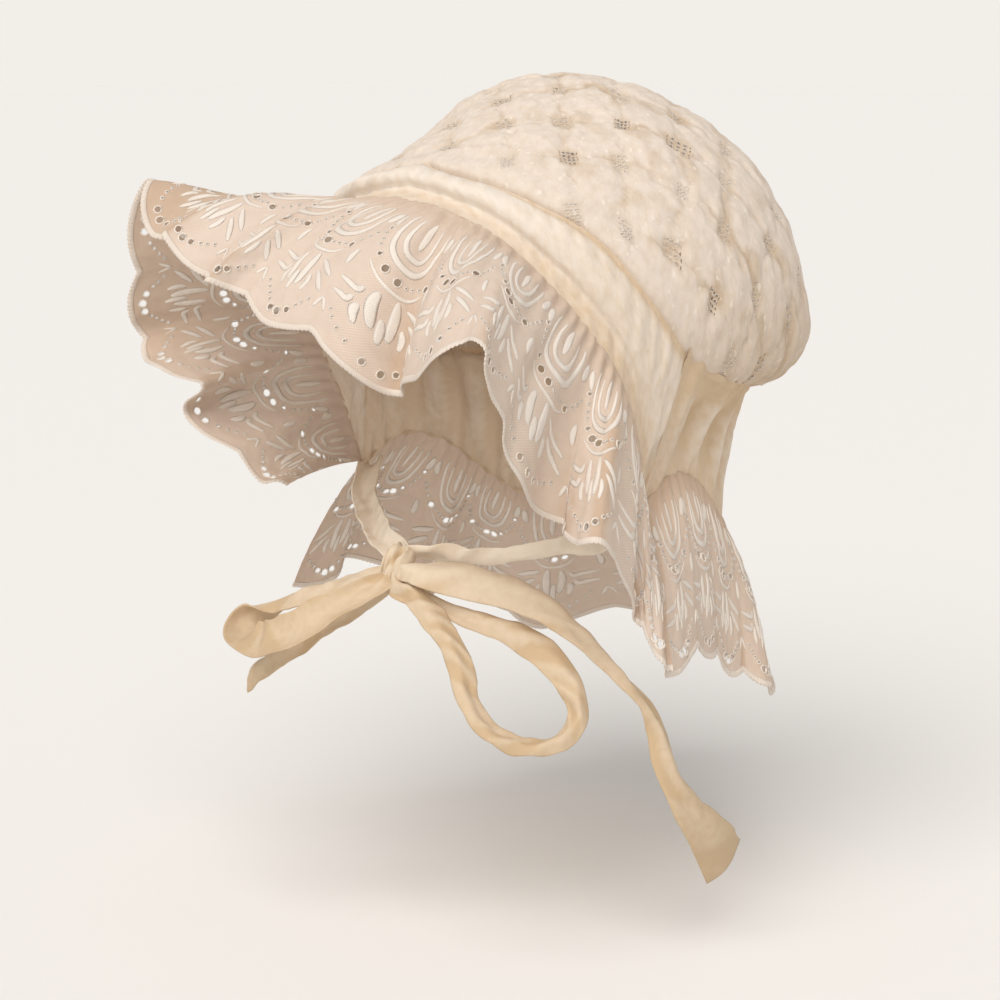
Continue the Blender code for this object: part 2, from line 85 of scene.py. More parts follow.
# The crown from its top to its edge: share of the way, then the cloth's distance from the
# middle of the head as shares of HEAD_RADIUS at the front, temple, side, quarter and back
CROWN_SECTIONS = (
    # way, front, temple, side, quarter, back
    (0.00, 0.980, 0.980, 0.980, 0.980, 0.980),
    (0.15, 0.962, 0.960, 0.978, 0.995, 0.995),
    (0.30, 0.945, 0.940, 0.975, 1.010, 1.015),
    (0.45, 0.938, 0.934, 0.990, 1.045, 1.060),
    (0.60, 0.936, 0.949, 1.010, 1.074, 1.103),
    (0.75, 0.945, 0.980, 1.022, 1.103, 1.147),
    (0.85, 0.960, 1.003, 1.022, 1.130, 1.168),
    (0.93, 0.975, 1.016, 1.005, 1.080, 1.110),
    (1.00, 0.988, 1.018, 0.965, 0.925, 0.935),
)
CROWN_TURNS = (0.0, 45.0, 90.0, 135.0, 180.0)

# Where the crown ends: turn from the front and tilt from straight up, in degrees
CROWN_EDGE = (
    # turn, tilt
    (0, 52),
    (36, 62),
    (55, 74),
    (65, 86),
    (78, 101),
    (90, 107),
    (112, 112),
    (135, 115),
    (180, 116),
)

# The band's and the curtain's seams: where each leaves the crown, and its outer seam as
# shares of HEAD_RADIUS from the head's middle
BAND_SECTIONS = (
    # way, crown turn, out, forward, up
    (0.00, 0, 0.000, 0.965, 0.500),
    (0.18, 14, 0.290, 0.945, 0.455),
    (0.36, 30, 0.540, 0.875, 0.330),
    (0.55, 46, 0.785, 0.725, 0.050),
    (0.72, 59, 0.885, 0.575, -0.215),
    (0.86, 69, 0.870, 0.450, -0.490),
    (1.00, 76, 0.824, 0.382, -0.772),
)
CURTAIN_SECTIONS = (
    # way, crown turn, out, forward, up
    (0.00, 76, 0.824, 0.382, -0.772),
    (0.16, 88, 0.800, 0.150, -0.660),
    (0.32, 101, 0.750, -0.074, -0.710),
    (0.48, 114, 0.700, -0.265, -0.850),
    (0.66, 130, 0.600, -0.450, -0.990),
    (0.84, 155, 0.345, -0.620, -1.070),
    (1.00, 180, 0.000, -0.680, -1.100),
)

# The way the lace leaves its seam and ends at its scalloped edge, in degrees outward from
# straight ahead and upward from level
FACE_FRILL_FOLDS = (
    # way, turn at seam, rise at seam, turn at edge, rise at edge
    (-1.00, 20, 8, 22, -4),
    (-0.93, 14, 0, 18, -12),
    (-0.86, 2, 0, 8, -16),
    (-0.80, -12, 2, -2, -14),
    (-0.76, -4, 4, 8, -12),
    (-0.70, -22, 4, -6, -16),
    (-0.62, -44, 2, -32, -18),
    (-0.54, -46, 8, -32, -14),
    (-0.46, -46, 14, -34, -4),
    (-0.38, -46, 28, -36, 8),
    (-0.29, -42, 28, -36, -40),
    (-0.20, -38, 22, -38, -42),
    (-0.12, -32, 4, -36, -54),
    (-0.04, -32, -4, -38, -48),
    (0.03, -32, -12, -42, -62),
    (0.10, -22, -14, -34, -66),
    (0.15, -14, -16, -22, -72),
    (0.20, -6, -40, -16, -88),
    (0.28, 10, -22, 16, -70),
    (0.36, 24, -6, 30, -42),
    (0.42, 28, -4, 32, -36),
    (0.48, 24, -8, 20, -52),
    (0.55, 20, -18, 10, -68),
    (0.63, 17, -46, 4, -86),
    (0.72, 36, -24, 28, -68),
    (0.80, 44, -48, 32, -82),
    (0.90, 50, -38, 38, -72),
    (1.00, 60, -34, 51, -61),
)
NECK_FRILL_FOLDS = (
    # way, turn at seam, rise at seam, turn at edge, rise at edge
    (0.00, 66, -44, 39, -67),
    (0.07, 64, -48, 40, -72),
    (0.14, 66, -52, 42, -79),
    (0.22, 68, -50, 42, -80),
    (0.30, 80, -44, 52, -66),
    (0.38, 92, -50, 66, -68),
    (0.45, 136, -54, 118, -68),
    (0.50, 172, -52, 178, -70),
    (0.57, 200, -44, 188, -56),
    (0.64, 224, -58, 236, -74),
    (0.72, 248, -46, 240, -60),
    (0.80, 262, -60, 276, -76),
    (0.87, 284, -46, 282, -62),
    (0.94, 280, -54, 288, -76),
    (1.00, 288, -46, 294, -70),
)

# Ties in the air between the corners and the knot: shares of HEAD_RADIUS from the head's
# middle, and the roll of the cloth in degrees
STRAP_RIGHT_ROUTE = (
    # out, forward, up, roll
    (-0.803, 0.366, -0.797, 30),
    (-0.651, 0.542, -0.880, 20),
    (-0.476, 0.680, -0.919, 10),
    (-0.292, 0.809, -0.945, 0),
    (-0.118, 0.928, -0.963, -10),
    (0.066, 1.022, -0.976, -20),
)
STRAP_LEFT_ROUTE = (
    # out, forward, up, roll
    (0.812, 0.376, -0.792, -30),
    (0.730, 0.522, -0.916, -20),
    (0.630, 0.627, -0.931, -10),
    (0.530, 0.730, -0.958, 0),
    (0.422, 0.826, -0.976, 0),
    (0.305, 0.912, -0.978, 0),
    (0.148, 1.008, -0.968, 0),
)

# Ties that lie against the round of the chest: turn from the front and rise from level in
# degrees, stand-off and width as shares of TIE_WIDTH, and roll in degrees
LOOP_RIGHT_ROUTE = (
    # turn, rise, stand-off, width, roll
    (2.5, 54, 0.70, 0.60, 0),
    (-9, 49.5, 0.60, 1.00, 0),
    (-17, 46, 0.65, 1.10, -5),
    (-25, 42.5, 0.80, 1.20, -15),
    (-31, 38.5, 1.00, 1.40, -40),
    (-32.5, 34, 1.30, 1.60, -80),
    (-27, 31, 1.60, 1.70, -130),
    (-18, 31.5, 1.60, 1.70, -165),
    (-10, 34.5, 1.50, 1.60, -180),
    (-4.5, 38.5, 1.40, 1.40, -185),
    (0, 43, 1.20, 1.10, -185),
    (4.5, 47.5, 1.00, 0.90, -185),
    (7.4, 51.1, 0.75, 0.60, -185),
)
LOOP_LEFT_ROUTE = (
    # turn, rise, stand-off, width, roll
    (11, 50.8, 0.80, 0.60, 0),
    (18, 49.3, 0.80, 0.80, 0),
    (25.5, 45.5, 0.80, 1.00, 10),
    (32, 41, 0.60, 0.95, 20),
    (35.5, 35.5, 0.50, 0.90, 20),
    (37.5, 29.5, 0.45, 0.90, 30),
    (41, 24.5, 0.45, 0.90, 40),
    (45.5, 21.5, 0.45, 0.85, 40),
    (51, 20.3, 0.45, 0.80, 40),
    (56.5, 21, 0.45, 0.75, 40),
    (60, 24, 0.45, 0.75, 30),
    (60.8, 28, 0.45, 0.80, 20),
    (59.3, 32.5, 0.45, 1.00, 10),
    (56.5, 37, 0.40, 1.20, 0),
    (52, 41, 0.35, 1.20, 0),
    (45, 44, 0.30, 1.00, 0),
    (36, 46.2, 0.25, 0.80, 0),
    (26, 49.5, 0.15, 0.50, 0),
    (14, 53.4, 0.15, 0.40, 0),
)
TAIL_LEFT_ROUTE = (
    # turn, rise, stand-off, width, roll
    (14, 53.6, 1.10, 0.70, 10),
    (18.5, 53.6, 1.20, 1.20, 10),
    (27, 52.8, 1.30, 1.60, 0),
    (38, 51.5, 1.20, 1.60, 0),
    (48, 49.5, 1.10, 1.50, 0),
    (57, 46.5, 0.90, 1.40, 10),
    (64, 41.5, 0.70, 1.20, 20),
    (69.5, 36, 0.55, 1.00, 30),
    (74, 30.5, 0.50, 0.90, 40),
    (77.5, 26, 0.50, 0.90, 30),
    (79.5, 20.5, 0.45, 0.95, 10),
    (80, 14, 0.40, 1.00, 0),
    (82, 7.5, 0.40, 1.10, 0),
    (86.5, 1, 0.40, 1.40, 0),
    (93, -5.5, 0.40, 2.00, -10),
    (100, -12.5, 0.40, 2.20, -10),
)
TAIL_RIGHT_ROUTE = (
    # turn, rise, stand-off, width, roll
    (4.5, 53, 0.15, 0.50, 0),
    (-2.5, 47.5, 0.10, 0.70, 0),
    (-9, 42, 0.10, 0.80, 0),
    (-16, 36, 0.10, 0.80, 0),
    (-24, 30, 0.15, 0.85, 0),
    (-32, 25, 0.15, 0.90, 0),
    (-37, 21.5, 0.15, 0.90, 0),
)

TOP_SHARE = CROWN_SECTIONS[0][1]
HEAD_MIDDLE = np.array((0.0, 0.0, CLOTH_WALL / 2 - HEAD_RADIUS * TOP_SHARE))
CHEST_MIDDLE = np.array((0.0, -CHEST_FORWARD, -CHEST_DROP))
KNOT_TURN = 9.0
KNOT_RISE = 55.0
KNOT_STAND_OFF = TIE_WIDTH * 0.74


def smooth(at: Numbers, places: Numbers, values: Numbers) -> Numbers:
    """Reads a table by a smooth curve: each step is a cubic whose slopes at the rows are the
    averages of the slopes beside them.

    Args:
        at: Where to read.
        places: The table's first column.
        values: The other columns, one row for each place.

    Returns:
        The values there, with the columns as the last axis.
    """
    at = np.asarray(at, dtype=float)
    steps = np.diff(places)
    slopes = np.diff(values, axis=0) / steps[:, None]
    ends = np.empty_like(values)
    weighted = slopes[:-1] * steps[1:, None] + slopes[1:] * steps[:-1, None]
    ends[1:-1] = weighted / (steps[1:] + steps[:-1])[:, None]
    ends[0] = slopes[0]
    ends[-1] = slopes[-1]
    row = np.clip(np.searchsorted(places, at, side="right") - 1, 0, len(steps) - 1)
    share = ((at - places[row]) / steps[row])[..., None]
    width = steps[row][..., None]
    start = (1 + 2 * share) * (1 - share) ** 2 * values[row]
    stop = share**2 * (3 - 2 * share) * values[row + 1]
    lean = share * (1 - share) ** 2 * ends[row] - share**2 * (1 - share) * ends[row + 1]
    return start + stop + lean * width


def columns_of(rows: tuple) -> tuple[Numbers, Numbers]:
    """A table's first column, and the others beside it."""
    data = np.array(rows, dtype=float)
    return data[:, 0], data[:, 1:]


def direction(turn: Numbers, rise: Numbers) -> Numbers:
    """The unit vector at a turn and a rise.

    Args:
        turn: From straight ahead towards the left, in degrees.
        rise: From level, in degrees.

    Returns:
        The vector, as the last axis.
    """
    turn, rise = np.radians(turn), np.radians(rise)
    flat = np.cos(rise)
    return np.stack((flat * np.sin(turn), -flat * np.cos(turn), np.sin(rise)), axis=-1)


def unit(vectors: Numbers) -> Numbers:
    """The vectors at length one."""
    return vectors / np.maximum(np.linalg.norm(vectors, axis=-1, keepdims=True), 1e-12)


def ramp(at: Numbers, low: float, high: float) -> Numbers:
    """Zero below low, one above high, and an even S between them."""
    share = np.clip((at - low) / (high - low), 0, 1)
    return share**2 * (3 - 2 * share)


def ripples(across: Numbers, along: Numbers, pitch: float, seed: int, waves: int = 9) -> Numbers:
    """A soft uneven field: the sum of waves of about one pitch in seeded directions.

    Args:
        across: First coordinate, in metres.
        along: Second coordinate, in metres.
        pitch: The waves' middle length, in metres.
        seed: Chooses the directions, lengths and starts.
        waves: How many are added.

    Returns:
        Values of about -1 to 1.
    """
    chance = np.random.default_rng(seed)
    ways = chance.uniform(0, 2 * math.pi, waves)
    speeds = 2 * math.pi / pitch * chance.uniform(0.65, 1.5, waves)
    starts = chance.uniform(0, 2 * math.pi, waves)
    total = np.zeros(np.broadcast(across, along).shape)
    for way, speed, start in zip(ways, speeds, starts):
        total += np.cos(speed * (across * math.cos(way) + along * math.sin(way)) + start)
    return total / math.sqrt(2 * waves)


@dataclass(frozen=True)
class Wrinkles:
    """Small soft wrinkles all over a cloth.

    pitch: Their middle length, in metres.
    depth: How deep they are, in metres.
    seed: Chooses where they lie.
    upright: How much less they change down the cloth than along it.
    """

    pitch: float
    depth: float
    seed: int
    upright: float = 1.0

    def lift(self, across: Numbers, down: Numbers) -> Numbers:
        """How far the cloth is lifted at flat coordinates: uneven waves times the depth."""
        return ripples(across, down * self.upright, self.pitch, self.seed) * self.depth


@dataclass(frozen=True)
class Gathers:
    """Small folds drawn up along a seam.

    spacing: The length over which their sine runs on by one radian, in metres.
    depth: How deep they are, in metres.
    wander: How far they lean to and fro, in radians.
    drift: The length over which they lean, in metres.
    upright: How much less they change down the cloth than along it.
    """

    spacing: float
    depth: float
    wander: float
    drift: float
    upright: float

    def lift(self, across: Numbers, down: Numbers, seed: int) -> Numbers:
        """How far the cloth is lifted: a sine along the seam whose place wanders softly."""
        lean = self.wander * ripples(across, down * self.upright, self.drift, seed)
        return np.sin(across / self.spacing + lean) * self.depth


def crown_edge_tilt(turn: Numbers) -> Numbers:
    """The crown's edge: its tilt from straight up at each turn from the front."""
    turns, tilts = columns_of(CROWN_EDGE)
    return smooth(np.abs(turn), turns, tilts)[..., 0]


def crown_radius(way: Numbers, turn: Numbers) -> Numbers:
    """The crown cloth's distance from the middle of the head: its table down the crown, and
    a cosine blend between the table's columns round it.

    Args:
        way: The share of the way from the top to the edge.
        turn: The turn from the front, in degrees.

    Returns:
        The distance, in metres.
    """
    ways, shares = columns_of(CROWN_SECTIONS)
    down = smooth(way, ways, shares)
    spacing = CROWN_TURNS[1] - CROWN_TURNS[0]
    place = np.abs(turn) / spacing
    low = np.minimum(place.astype(int), len(CROWN_TURNS) - 2)
    blend = (1 - np.cos(math.pi * (place - low))) / 2
    here = np.take_along_axis(down, low[..., None], axis=-1)[..., 0]
    after = np.take_along_axis(down, low[..., None] + 1, axis=-1)[..., 0]
    return HEAD_RADIUS * (here + (after - here) * blend)


def crown_point(way: Numbers, turn: Numbers) -> Numbers:
    """The crown cloth's middle surface, at a share of the way from the top to the edge."""
    tilt = crown_edge_tilt(turn) * way
    return HEAD_MIDDLE + crown_radius(way, turn)[..., None] * direction(turn, 90 - tilt)


def sewn_edges(rows: tuple, way: Numbers, side: Numbers) -> tuple[Numbers, Numbers]:
    """The two seams of a plain piece.

    Args:
        rows: The piece's table.
        way: Where to read the table.
        side: 1 for the wearer's left side and -1 for the right.

    Returns:
        Points of the crown's edge and of the outer seam.
    """
    ways, values = columns_of(rows)
    values = smooth(way, ways, values)
    turn = values[..., 0] * side
    edge = crown_point(np.ones_like(turn), turn)
    reach = values[..., 1:] * HEAD_RADIUS
    seam = HEAD_MIDDLE + np.stack((reach[..., 0] * side, -reach[..., 1], reach[..., 2]), axis=-1)
    return edge, seam


def outward(points: Numbers) -> Numbers:
    """The unit vector away from the middle of the head at each point."""
    return unit(points - HEAD_MIDDLE)


@dataclass
class ClothGrid:
    """A cloth surface as a grid of points, columns by rows.

    points: The grid.
    closed: True where the last column meets the first.
    """

    points: Numbers
    closed: bool = False

    def slopes(self) -> tuple[Numbers, Numbers]:
        """The grid's differences, halved over two cells where both sides have one.

        Returns:
            The differences from column to column, and from row to row.
        """
        if self.closed:
            along = (np.roll(self.points, -1, axis=0) - np.roll(self.points, 1, axis=0)) / 2
        else:
            along = np.gradient(self.points, axis=0)
        return along, np.gradient(self.points, axis=1)

    def normals(self) -> Numbers:
        """The unit normals: the cross product of the two slopes."""
        along, down = self.slopes()
        return unit(np.cross(along, down))

    def area(self) -> float:
        """The cloth's area: the sum of the cross products of the cells' sides.

        Returns:
            The area, in square metres.
        """
        beside = np.diff(self.points, axis=0)[:, :-1]
        below = np.diff(self.points, axis=1)[:-1]
        return float(np.linalg.norm(np.cross(beside, below), axis=-1).sum())


def read_grid(field: Numbers, across: Numbers, down: Numbers) -> Numbers:
    """Reads a field on a grid between its points, by the share of each corner of a cell.

    Args:
        field: Values on the grid, columns by rows by parts.
        across: Shares of the way over the columns.
        down: Shares of the way over the rows.

    Returns:
        The values there.
    """
    columns, rows = field.shape[:2]
    x = np.clip(across, 0, 1) * (columns - 1)
    y = np.clip(down, 0, 1) * (rows - 1)
    i = np.minimum(x.astype(int), columns - 2)
    j = np.minimum(y.astype(int), rows - 2)
    a, b = (x - i)[..., None], (y - j)[..., None]
    near = field[i, j] * (1 - a) + field[i + 1, j] * a
    far = field[i, j + 1] * (1 - a) + field[i + 1, j + 1] * a
    return near * (1 - b) + far * b


def grid_faces(columns: int, rows: int, closed: bool) -> Numbers:
    """The four corners of each cell of a grid of points.

    Args:
        columns: Points one way.
        rows: Points the other way.
        closed: True where the last column meets the first.

    Returns:
        The points' numbers, columns by rows by four.
    """
    numbers = np.arange(columns * rows).reshape(columns, rows)
    beside = np.roll(numbers, -1, axis=0) if closed else numbers[1:]
    here = numbers if closed else numbers[:-1]
    return np.stack((here[:, :-1], beside[:, :-1], beside[:, 1:], here[:, 1:]), axis=-1)


def tube_faces(numbers: Numbers) -> list:
    """The faces of tubes, with a flat face over each end.

    Args:
        numbers: The points' numbers, tubes by rings by sides.

    Returns:
        The corners of each face.
    """
    beside = np.roll(numbers, -1, axis=2)
    cells = np.stack((numbers[:, :-1], numbers[:, 1:], beside[:, 1:], beside[:, :-1]), axis=-1)
    return cells.reshape(-1, 4).tolist() + numbers[:, 0].tolist() + numbers[:, -1, ::-1].tolist()


def mesh_piece(
    name: str, points: Numbers, faces: list, maps: dict[str, Numbers], fold: Numbers | None = None
) -> Piece:
    """An object at the origin from points and faces, smooth, with its UV maps.

    Args:
        name: The piece's name.
        points: Its points, one row each.
        faces: The corners of each face.
        maps: UV map names, each with two numbers for every point.
        fold: The painted shade at each point, from 0 to 1.

    Returns:
        The object, linked to the scene.
    """
    used = np.zeros(len(points), dtype=bool)
    for size in {len(face) for face in faces}:
        used[np.array([face for face in faces if len(face) == size])] = True
    numbers = np.cumsum(used) - 1
    kept = [numbers[list(face)].tolist() for face in faces]
    mesh = bpy.data.meshes.new(name)
    mesh.from_pydata(points[used].tolist(), [], kept)
    corners = np.empty(len(mesh.loops), dtype=np.int32)
    mesh.loops.foreach_get("vertex_index", corners)
    for label, values in maps.items():
        layer = mesh.uv_layers.new(name=label)
        layer.data.foreach_set("uv", values[used][corners].astype(np.float32).ravel())
    # The fold attribute carries the painted shade.
    depth = np.zeros(used.sum()) if fold is None else fold.reshape(-1)[used]
    mesh.attributes.new("fold", "FLOAT", "POINT").data.foreach_set("value", depth.astype(np.float32))
    mesh.shade_smooth()
    made = bpy.data.objects.new(name, mesh)
    bpy.context.scene.collection.objects.link(made)
    return made


def dress(piece: Piece, material: Material) -> Piece:
    """Gives a piece its material, hangs it on the body's empty and logs its faces.

    Args:
        piece: The piece.
        material: Its material.

    Returns:
        The same piece.
    """
    piece.data.materials.append(material)
    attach(piece, BODY)
    LOG.info("%s: %d faces", piece.name, len(piece.data.polygons))
    return piece


def wall(piece: Piece, thickness: float) -> None:
    """Gives a sheet its thickness, half to each side.

    Args:
        piece: The sheet.
        thickness: In metres.
    """
    modifier = piece.modifiers.new("wall", "SOLIDIFY")
    modifier.thickness = thickness
    modifier.offset = 0.0
    modifier.use_rim = True


@dataclass
class NodeTree:
    """A shader node tree that is filled step by step.

    tree: The tree.
    """

    tree: bpy.types.NodeTree

    def add(self, kind: str, **settings: object) -> Node:
        """A new node with its settings; a setting whose name is a socket's sets its value.

        Args:
            kind: The node's type name.
            settings: Attributes, or sockets by their names with _ for a space.

        Returns:
            The node.
        """
        node = self.tree.nodes.new(kind)
        for label, value in settings.items():
            socket = node.inputs.get(label.replace("_", " "))
            if socket is None:
                setattr(node, label, value)
            else:
                socket.default_value = value
        return node

    def link(self, start: Socket, stop: Socket) -> None:
        """Joins an output to an input."""
        self.tree.links.new(start, stop)

    def maths(self, operation: str, *values: object, clamp: bool = False) -> Socket:
        """A Math node.

        Args:
            operation: What it does.
            values: Its inputs, as numbers or outputs of other nodes.
            clamp: True to keep the result between 0 and 1.

        Returns:
            Its output.
        """
        node = self.tree.nodes.new("ShaderNodeMath")
        node.operation = operation
        node.use_clamp = clamp
        for socket, value in zip(node.inputs, values):
            if isinstance(value, Socket):
                self.link(value, socket)
            else:
                socket.default_value = value
        return node.outputs[0]

    def mixed(self, share: object, low: object, high: object) -> Socket:
        """A colour between two.

        Args:
            share: The share of the second, as a number or an output.
            low: The first, as three numbers or an output.
            high: The second, as three numbers or an output.

        Returns:
            The mixed colour's output.
        """
        node = self.tree.nodes.new("ShaderNodeMix")
        node.data_type = "RGBA"
        for socket, value in zip((node.inputs[0], node.inputs[6], node.inputs[7]), (share, low, high)):
            if isinstance(value, Socket):
                self.link(value, socket)
            else:
                socket.default_value = value if isinstance(value, float) else (*value, 1.0)
        return node.outputs[2]


def new_group(
    name: str, inputs: dict[str, float], outputs: tuple[str, ...]
) -> tuple[NodeTree, dict, dict]:
    """A shader node group with a vector input, number inputs and number outputs.

    Args:
        name: The group's name.
        inputs: The number inputs with their first values.
        outputs: The number outputs.

    Returns:
        The group's tree, its inner inputs by name and its inner outputs by name.
    """
    group = bpy.data.node_groups.new(name, "ShaderNodeTree")
    group.interface.new_socket("Place", in_out="INPUT", socket_type="NodeSocketVector")
    for label, value in inputs.items():
        socket = group.interface.new_socket(label, in_out="INPUT", socket_type="NodeSocketFloat")
        socket.default_value = value
    for label in outputs:
        group.interface.new_socket(label, in_out="OUTPUT", socket_type="NodeSocketFloat")
    tree = NodeTree(group)
    start = tree.add("NodeGroupInput")
    stop = tree.add("NodeGroupOutput")
    return tree, {s.name: s for s in start.outputs}, {s.name: s for s in stop.inputs}


def weave_group() -> bpy.types.NodeTree:
    """Plain weave: threads both ways as two sine waves, thick and thin by noise. Pitch is the
    distance between threads in metres. Height and Fleck run from 0 to 1.

    Returns:
        The group's node tree.
    """
    tree, given, made = new_group("plain_weave", {"Pitch": 0.0006}, ("Height", "Fleck"))
    parts = tree.add("ShaderNodeSeparateXYZ")
    tree.link(given["Place"], parts.inputs[0])
    speed = tree.maths("DIVIDE", 2 * math.pi, given["Pitch"])
    wefts = tree.maths("SINE", tree.maths("MULTIPLY", parts.outputs[0], speed))
    warps = tree.maths("SINE", tree.maths("MULTIPLY", parts.outputs[1], speed))
    threads = tree.maths("MULTIPLY", wefts, warps)
    noise = tree.add("ShaderNodeTexNoise", Scale=900.0, Detail=3.0, Roughness=0.6)
    tree.link(given["Place"], noise.inputs["Vector"])
    uneven = tree.maths("MULTIPLY_ADD", noise.outputs["Fac"], 0.9, 0.1)
    height = tree.maths("MULTIPLY_ADD", tree.maths("MULTIPLY", threads, uneven), 0.5, 0.5)
    tree.link(height, made["Height"])
    tree.link(noise.outputs["Fac"], made["Fleck"])
    return tree.tree


def crumple_group() -> bpy.types.NodeTree:
    """Soft crumples and tone: a wide noise and a fine one. Size is the crumples' size in metres.
    Height and Tone run from 0 to 1.

    Returns:
        The group's node tree.
    """
    finer, fine_share = 3.7, 0.35
    tree, given, made = new_group("soft_crumples", {"Size": 0.01}, ("Height", "Tone"))
    scale = tree.maths("DIVIDE", 1.0, given["Size"])
    wide = tree.add("ShaderNodeTexNoise", Detail=2.0, Roughness=0.45, Distortion=0.6)
    fine = tree.add("ShaderNodeTexNoise", Detail=4.0, Roughness=0.55)
    tree.link(scale, wide.inputs["Scale"])
    tree.link(tree.maths("MULTIPLY", scale, finer), fine.inputs["Scale"])
    for node in (wide, fine):
        tree.link(given["Place"], node.inputs["Vector"])
    height = tree.maths("MULTIPLY_ADD", fine.outputs["Fac"], fine_share, wide.outputs["Fac"])
    tree.link(height, made["Height"])
    tree.link(fine.outputs["Fac"], made["Tone"])
    return tree.tree


def net_group() -> bpy.types.NodeTree:
    """Fine net: the product of two slanting sine waves, so that its gaps are diamonds. Pitch is
    a diamond's width in metres. Gap is 1 in the gaps, Height 1 on the threads.

    Returns:
        The group's node tree.
    """
    slant, thread, sharpness = 0.8, 0.25, 2.0
    tree, given, made = new_group("fine_net", {"Pitch": 0.0011}, ("Gap", "Height"))
    parts = tree.add("ShaderNodeSeparateXYZ")
    tree.link(given["Place"], parts.inputs[0])
    speed = tree.maths("DIVIDE", math.pi, given["Pitch"])
    down = tree.maths("MULTIPLY", parts.outputs[1], slant)
    waves = []
    for operation in ("ADD", "SUBTRACT"):
        place = tree.maths(operation, parts.outputs[0], down)
        waves.append(tree.maths("SINE", tree.maths("MULTIPLY", place, speed)))
    open_place = tree.maths("ABSOLUTE", tree.maths("MULTIPLY", *waves))
    gap = tree.maths("MULTIPLY", tree.maths("SUBTRACT", open_place, thread), sharpness, clamp=True)
    tree.link(gap, made["Gap"])
    tree.link(tree.maths("SUBTRACT", 1.0, gap), made["Height"])
    return tree.tree


def stitch_group() -> bpy.types.NodeTree:
    """Satin stitches: rounded threads side by side along the first coordinate. Pitch is a
    thread's width in metres. Height runs from 0 to 1.

    Returns:
        The group's node tree.
    """
    tree, given, made = new_group("satin_stitches", {"Pitch": 0.0005}, ("Height",))
    parts = tree.add("ShaderNodeSeparateXYZ")
    tree.link(given["Place"], parts.inputs[0])
    speed = tree.maths("DIVIDE", math.pi, given["Pitch"])
    threads = tree.maths("ABSOLUTE", tree.maths("SINE", tree.maths("MULTIPLY", parts.outputs[0], speed)))
    tree.link(threads, made["Height"])
    return tree.tree


@dataclass(frozen=True)
class ClothFinish:
    """A cloth's finish.

    name: The material's name.
    light: Its colour where it is clean and light, linear.
    shade: Its colour where it is yellowed and where shade is painted, linear.
    roughness: How matt it is.
    glow: The share of light that comes through it.
    sheen: The soft shine of its nap.
    """

    name: str
    light: Triple
    shade: Triple
    roughness: float
    glow: float
    sheen: float = 0.15

    def start(self) -> tuple[Material, NodeTree, Node]:
        """The material with its Principled shader, and light that comes through mixed in.

        Returns:
            The material, its node tree and its Principled shader.
        """
        material = bpy.data.materials.new(self.name)
        material.use_nodes = True
        tree = NodeTree(material.node_tree)
        shader = material.node_tree.nodes["Principled BSDF"]
        shader.inputs["Roughness"].default_value = self.roughness
        shader.inputs["Metallic"].default_value = 0.0
        shader.inputs["IOR"].default_value = 1.4
        shader.inputs["Sheen Weight"].default_value = self.sheen
        shader.inputs["Sheen Roughness"].default_value = 0.6
        through = tree.add("ShaderNodeBsdfTranslucent", Color=(*self.light, 1.0))
        mix = tree.add("ShaderNodeMixShader", Fac=self.glow)
        tree.link(shader.outputs[0], mix.inputs[1])
        tree.link(through.outputs[0], mix.inputs[2])
        tree.link(mix.outputs[0], material.node_tree.nodes["Material Output"].inputs["Surface"])
        return material, tree, shader

    def bump(self, tree: NodeTree, shader: Node, height: object, depth: float) -> None:
        """Raises the surface.

        Args:
            tree: The material's tree.
            shader: Its Principled shader.
            height: The output that gives the height, from 0 to 1.
            depth: What a height of 1 is, in metres.
        """
        node = tree.add("ShaderNodeBump", Strength=1.0, Distance=depth)
        tree.link(height, node.inputs["Height"])
        tree.link(node.outputs[0], shader.inputs["Normal"])


@dataclass(frozen=True)
class Openwork:
    """The crown's openwork diamonds, which lie on its cell map's whole numbers.

    counts: How many holes a diamond has each way.
    step: The distance between holes, in cells.
    hole: A hole's radius, in steps.
    square: Half the pierced square, in steps.
    stretched: The noise above which the holes stand open.
    faint: The noise below which a diamond is faint.
    reach: How far the painted shade spreads round a diamond, in cells.
    painted_hole_shade: The painted shade deep in the holes, linear.
    knots: The colour of the light knots of thread, linear.
    """

    counts: tuple[int, int] = (3, 4)
    step: float = 0.082
    hole: float = 0.32
    square: float = 1.95
    stretched: float = 0.59
    faint: float = 0.36
    reach: float = 0.23
    painted_hole_shade: Triple = (0.34, 0.25, 0.15)
    knots: Triple = (0.97, 0.90, 0.80)

    def places(self) -> tuple[Numbers, Numbers]:
        """The holes' places each way, in cells from the diamond's middle."""
        return tuple((np.arange(count) - (count - 1) / 2) * self.step for count in self.counts)


OPENWORK = Openwork()


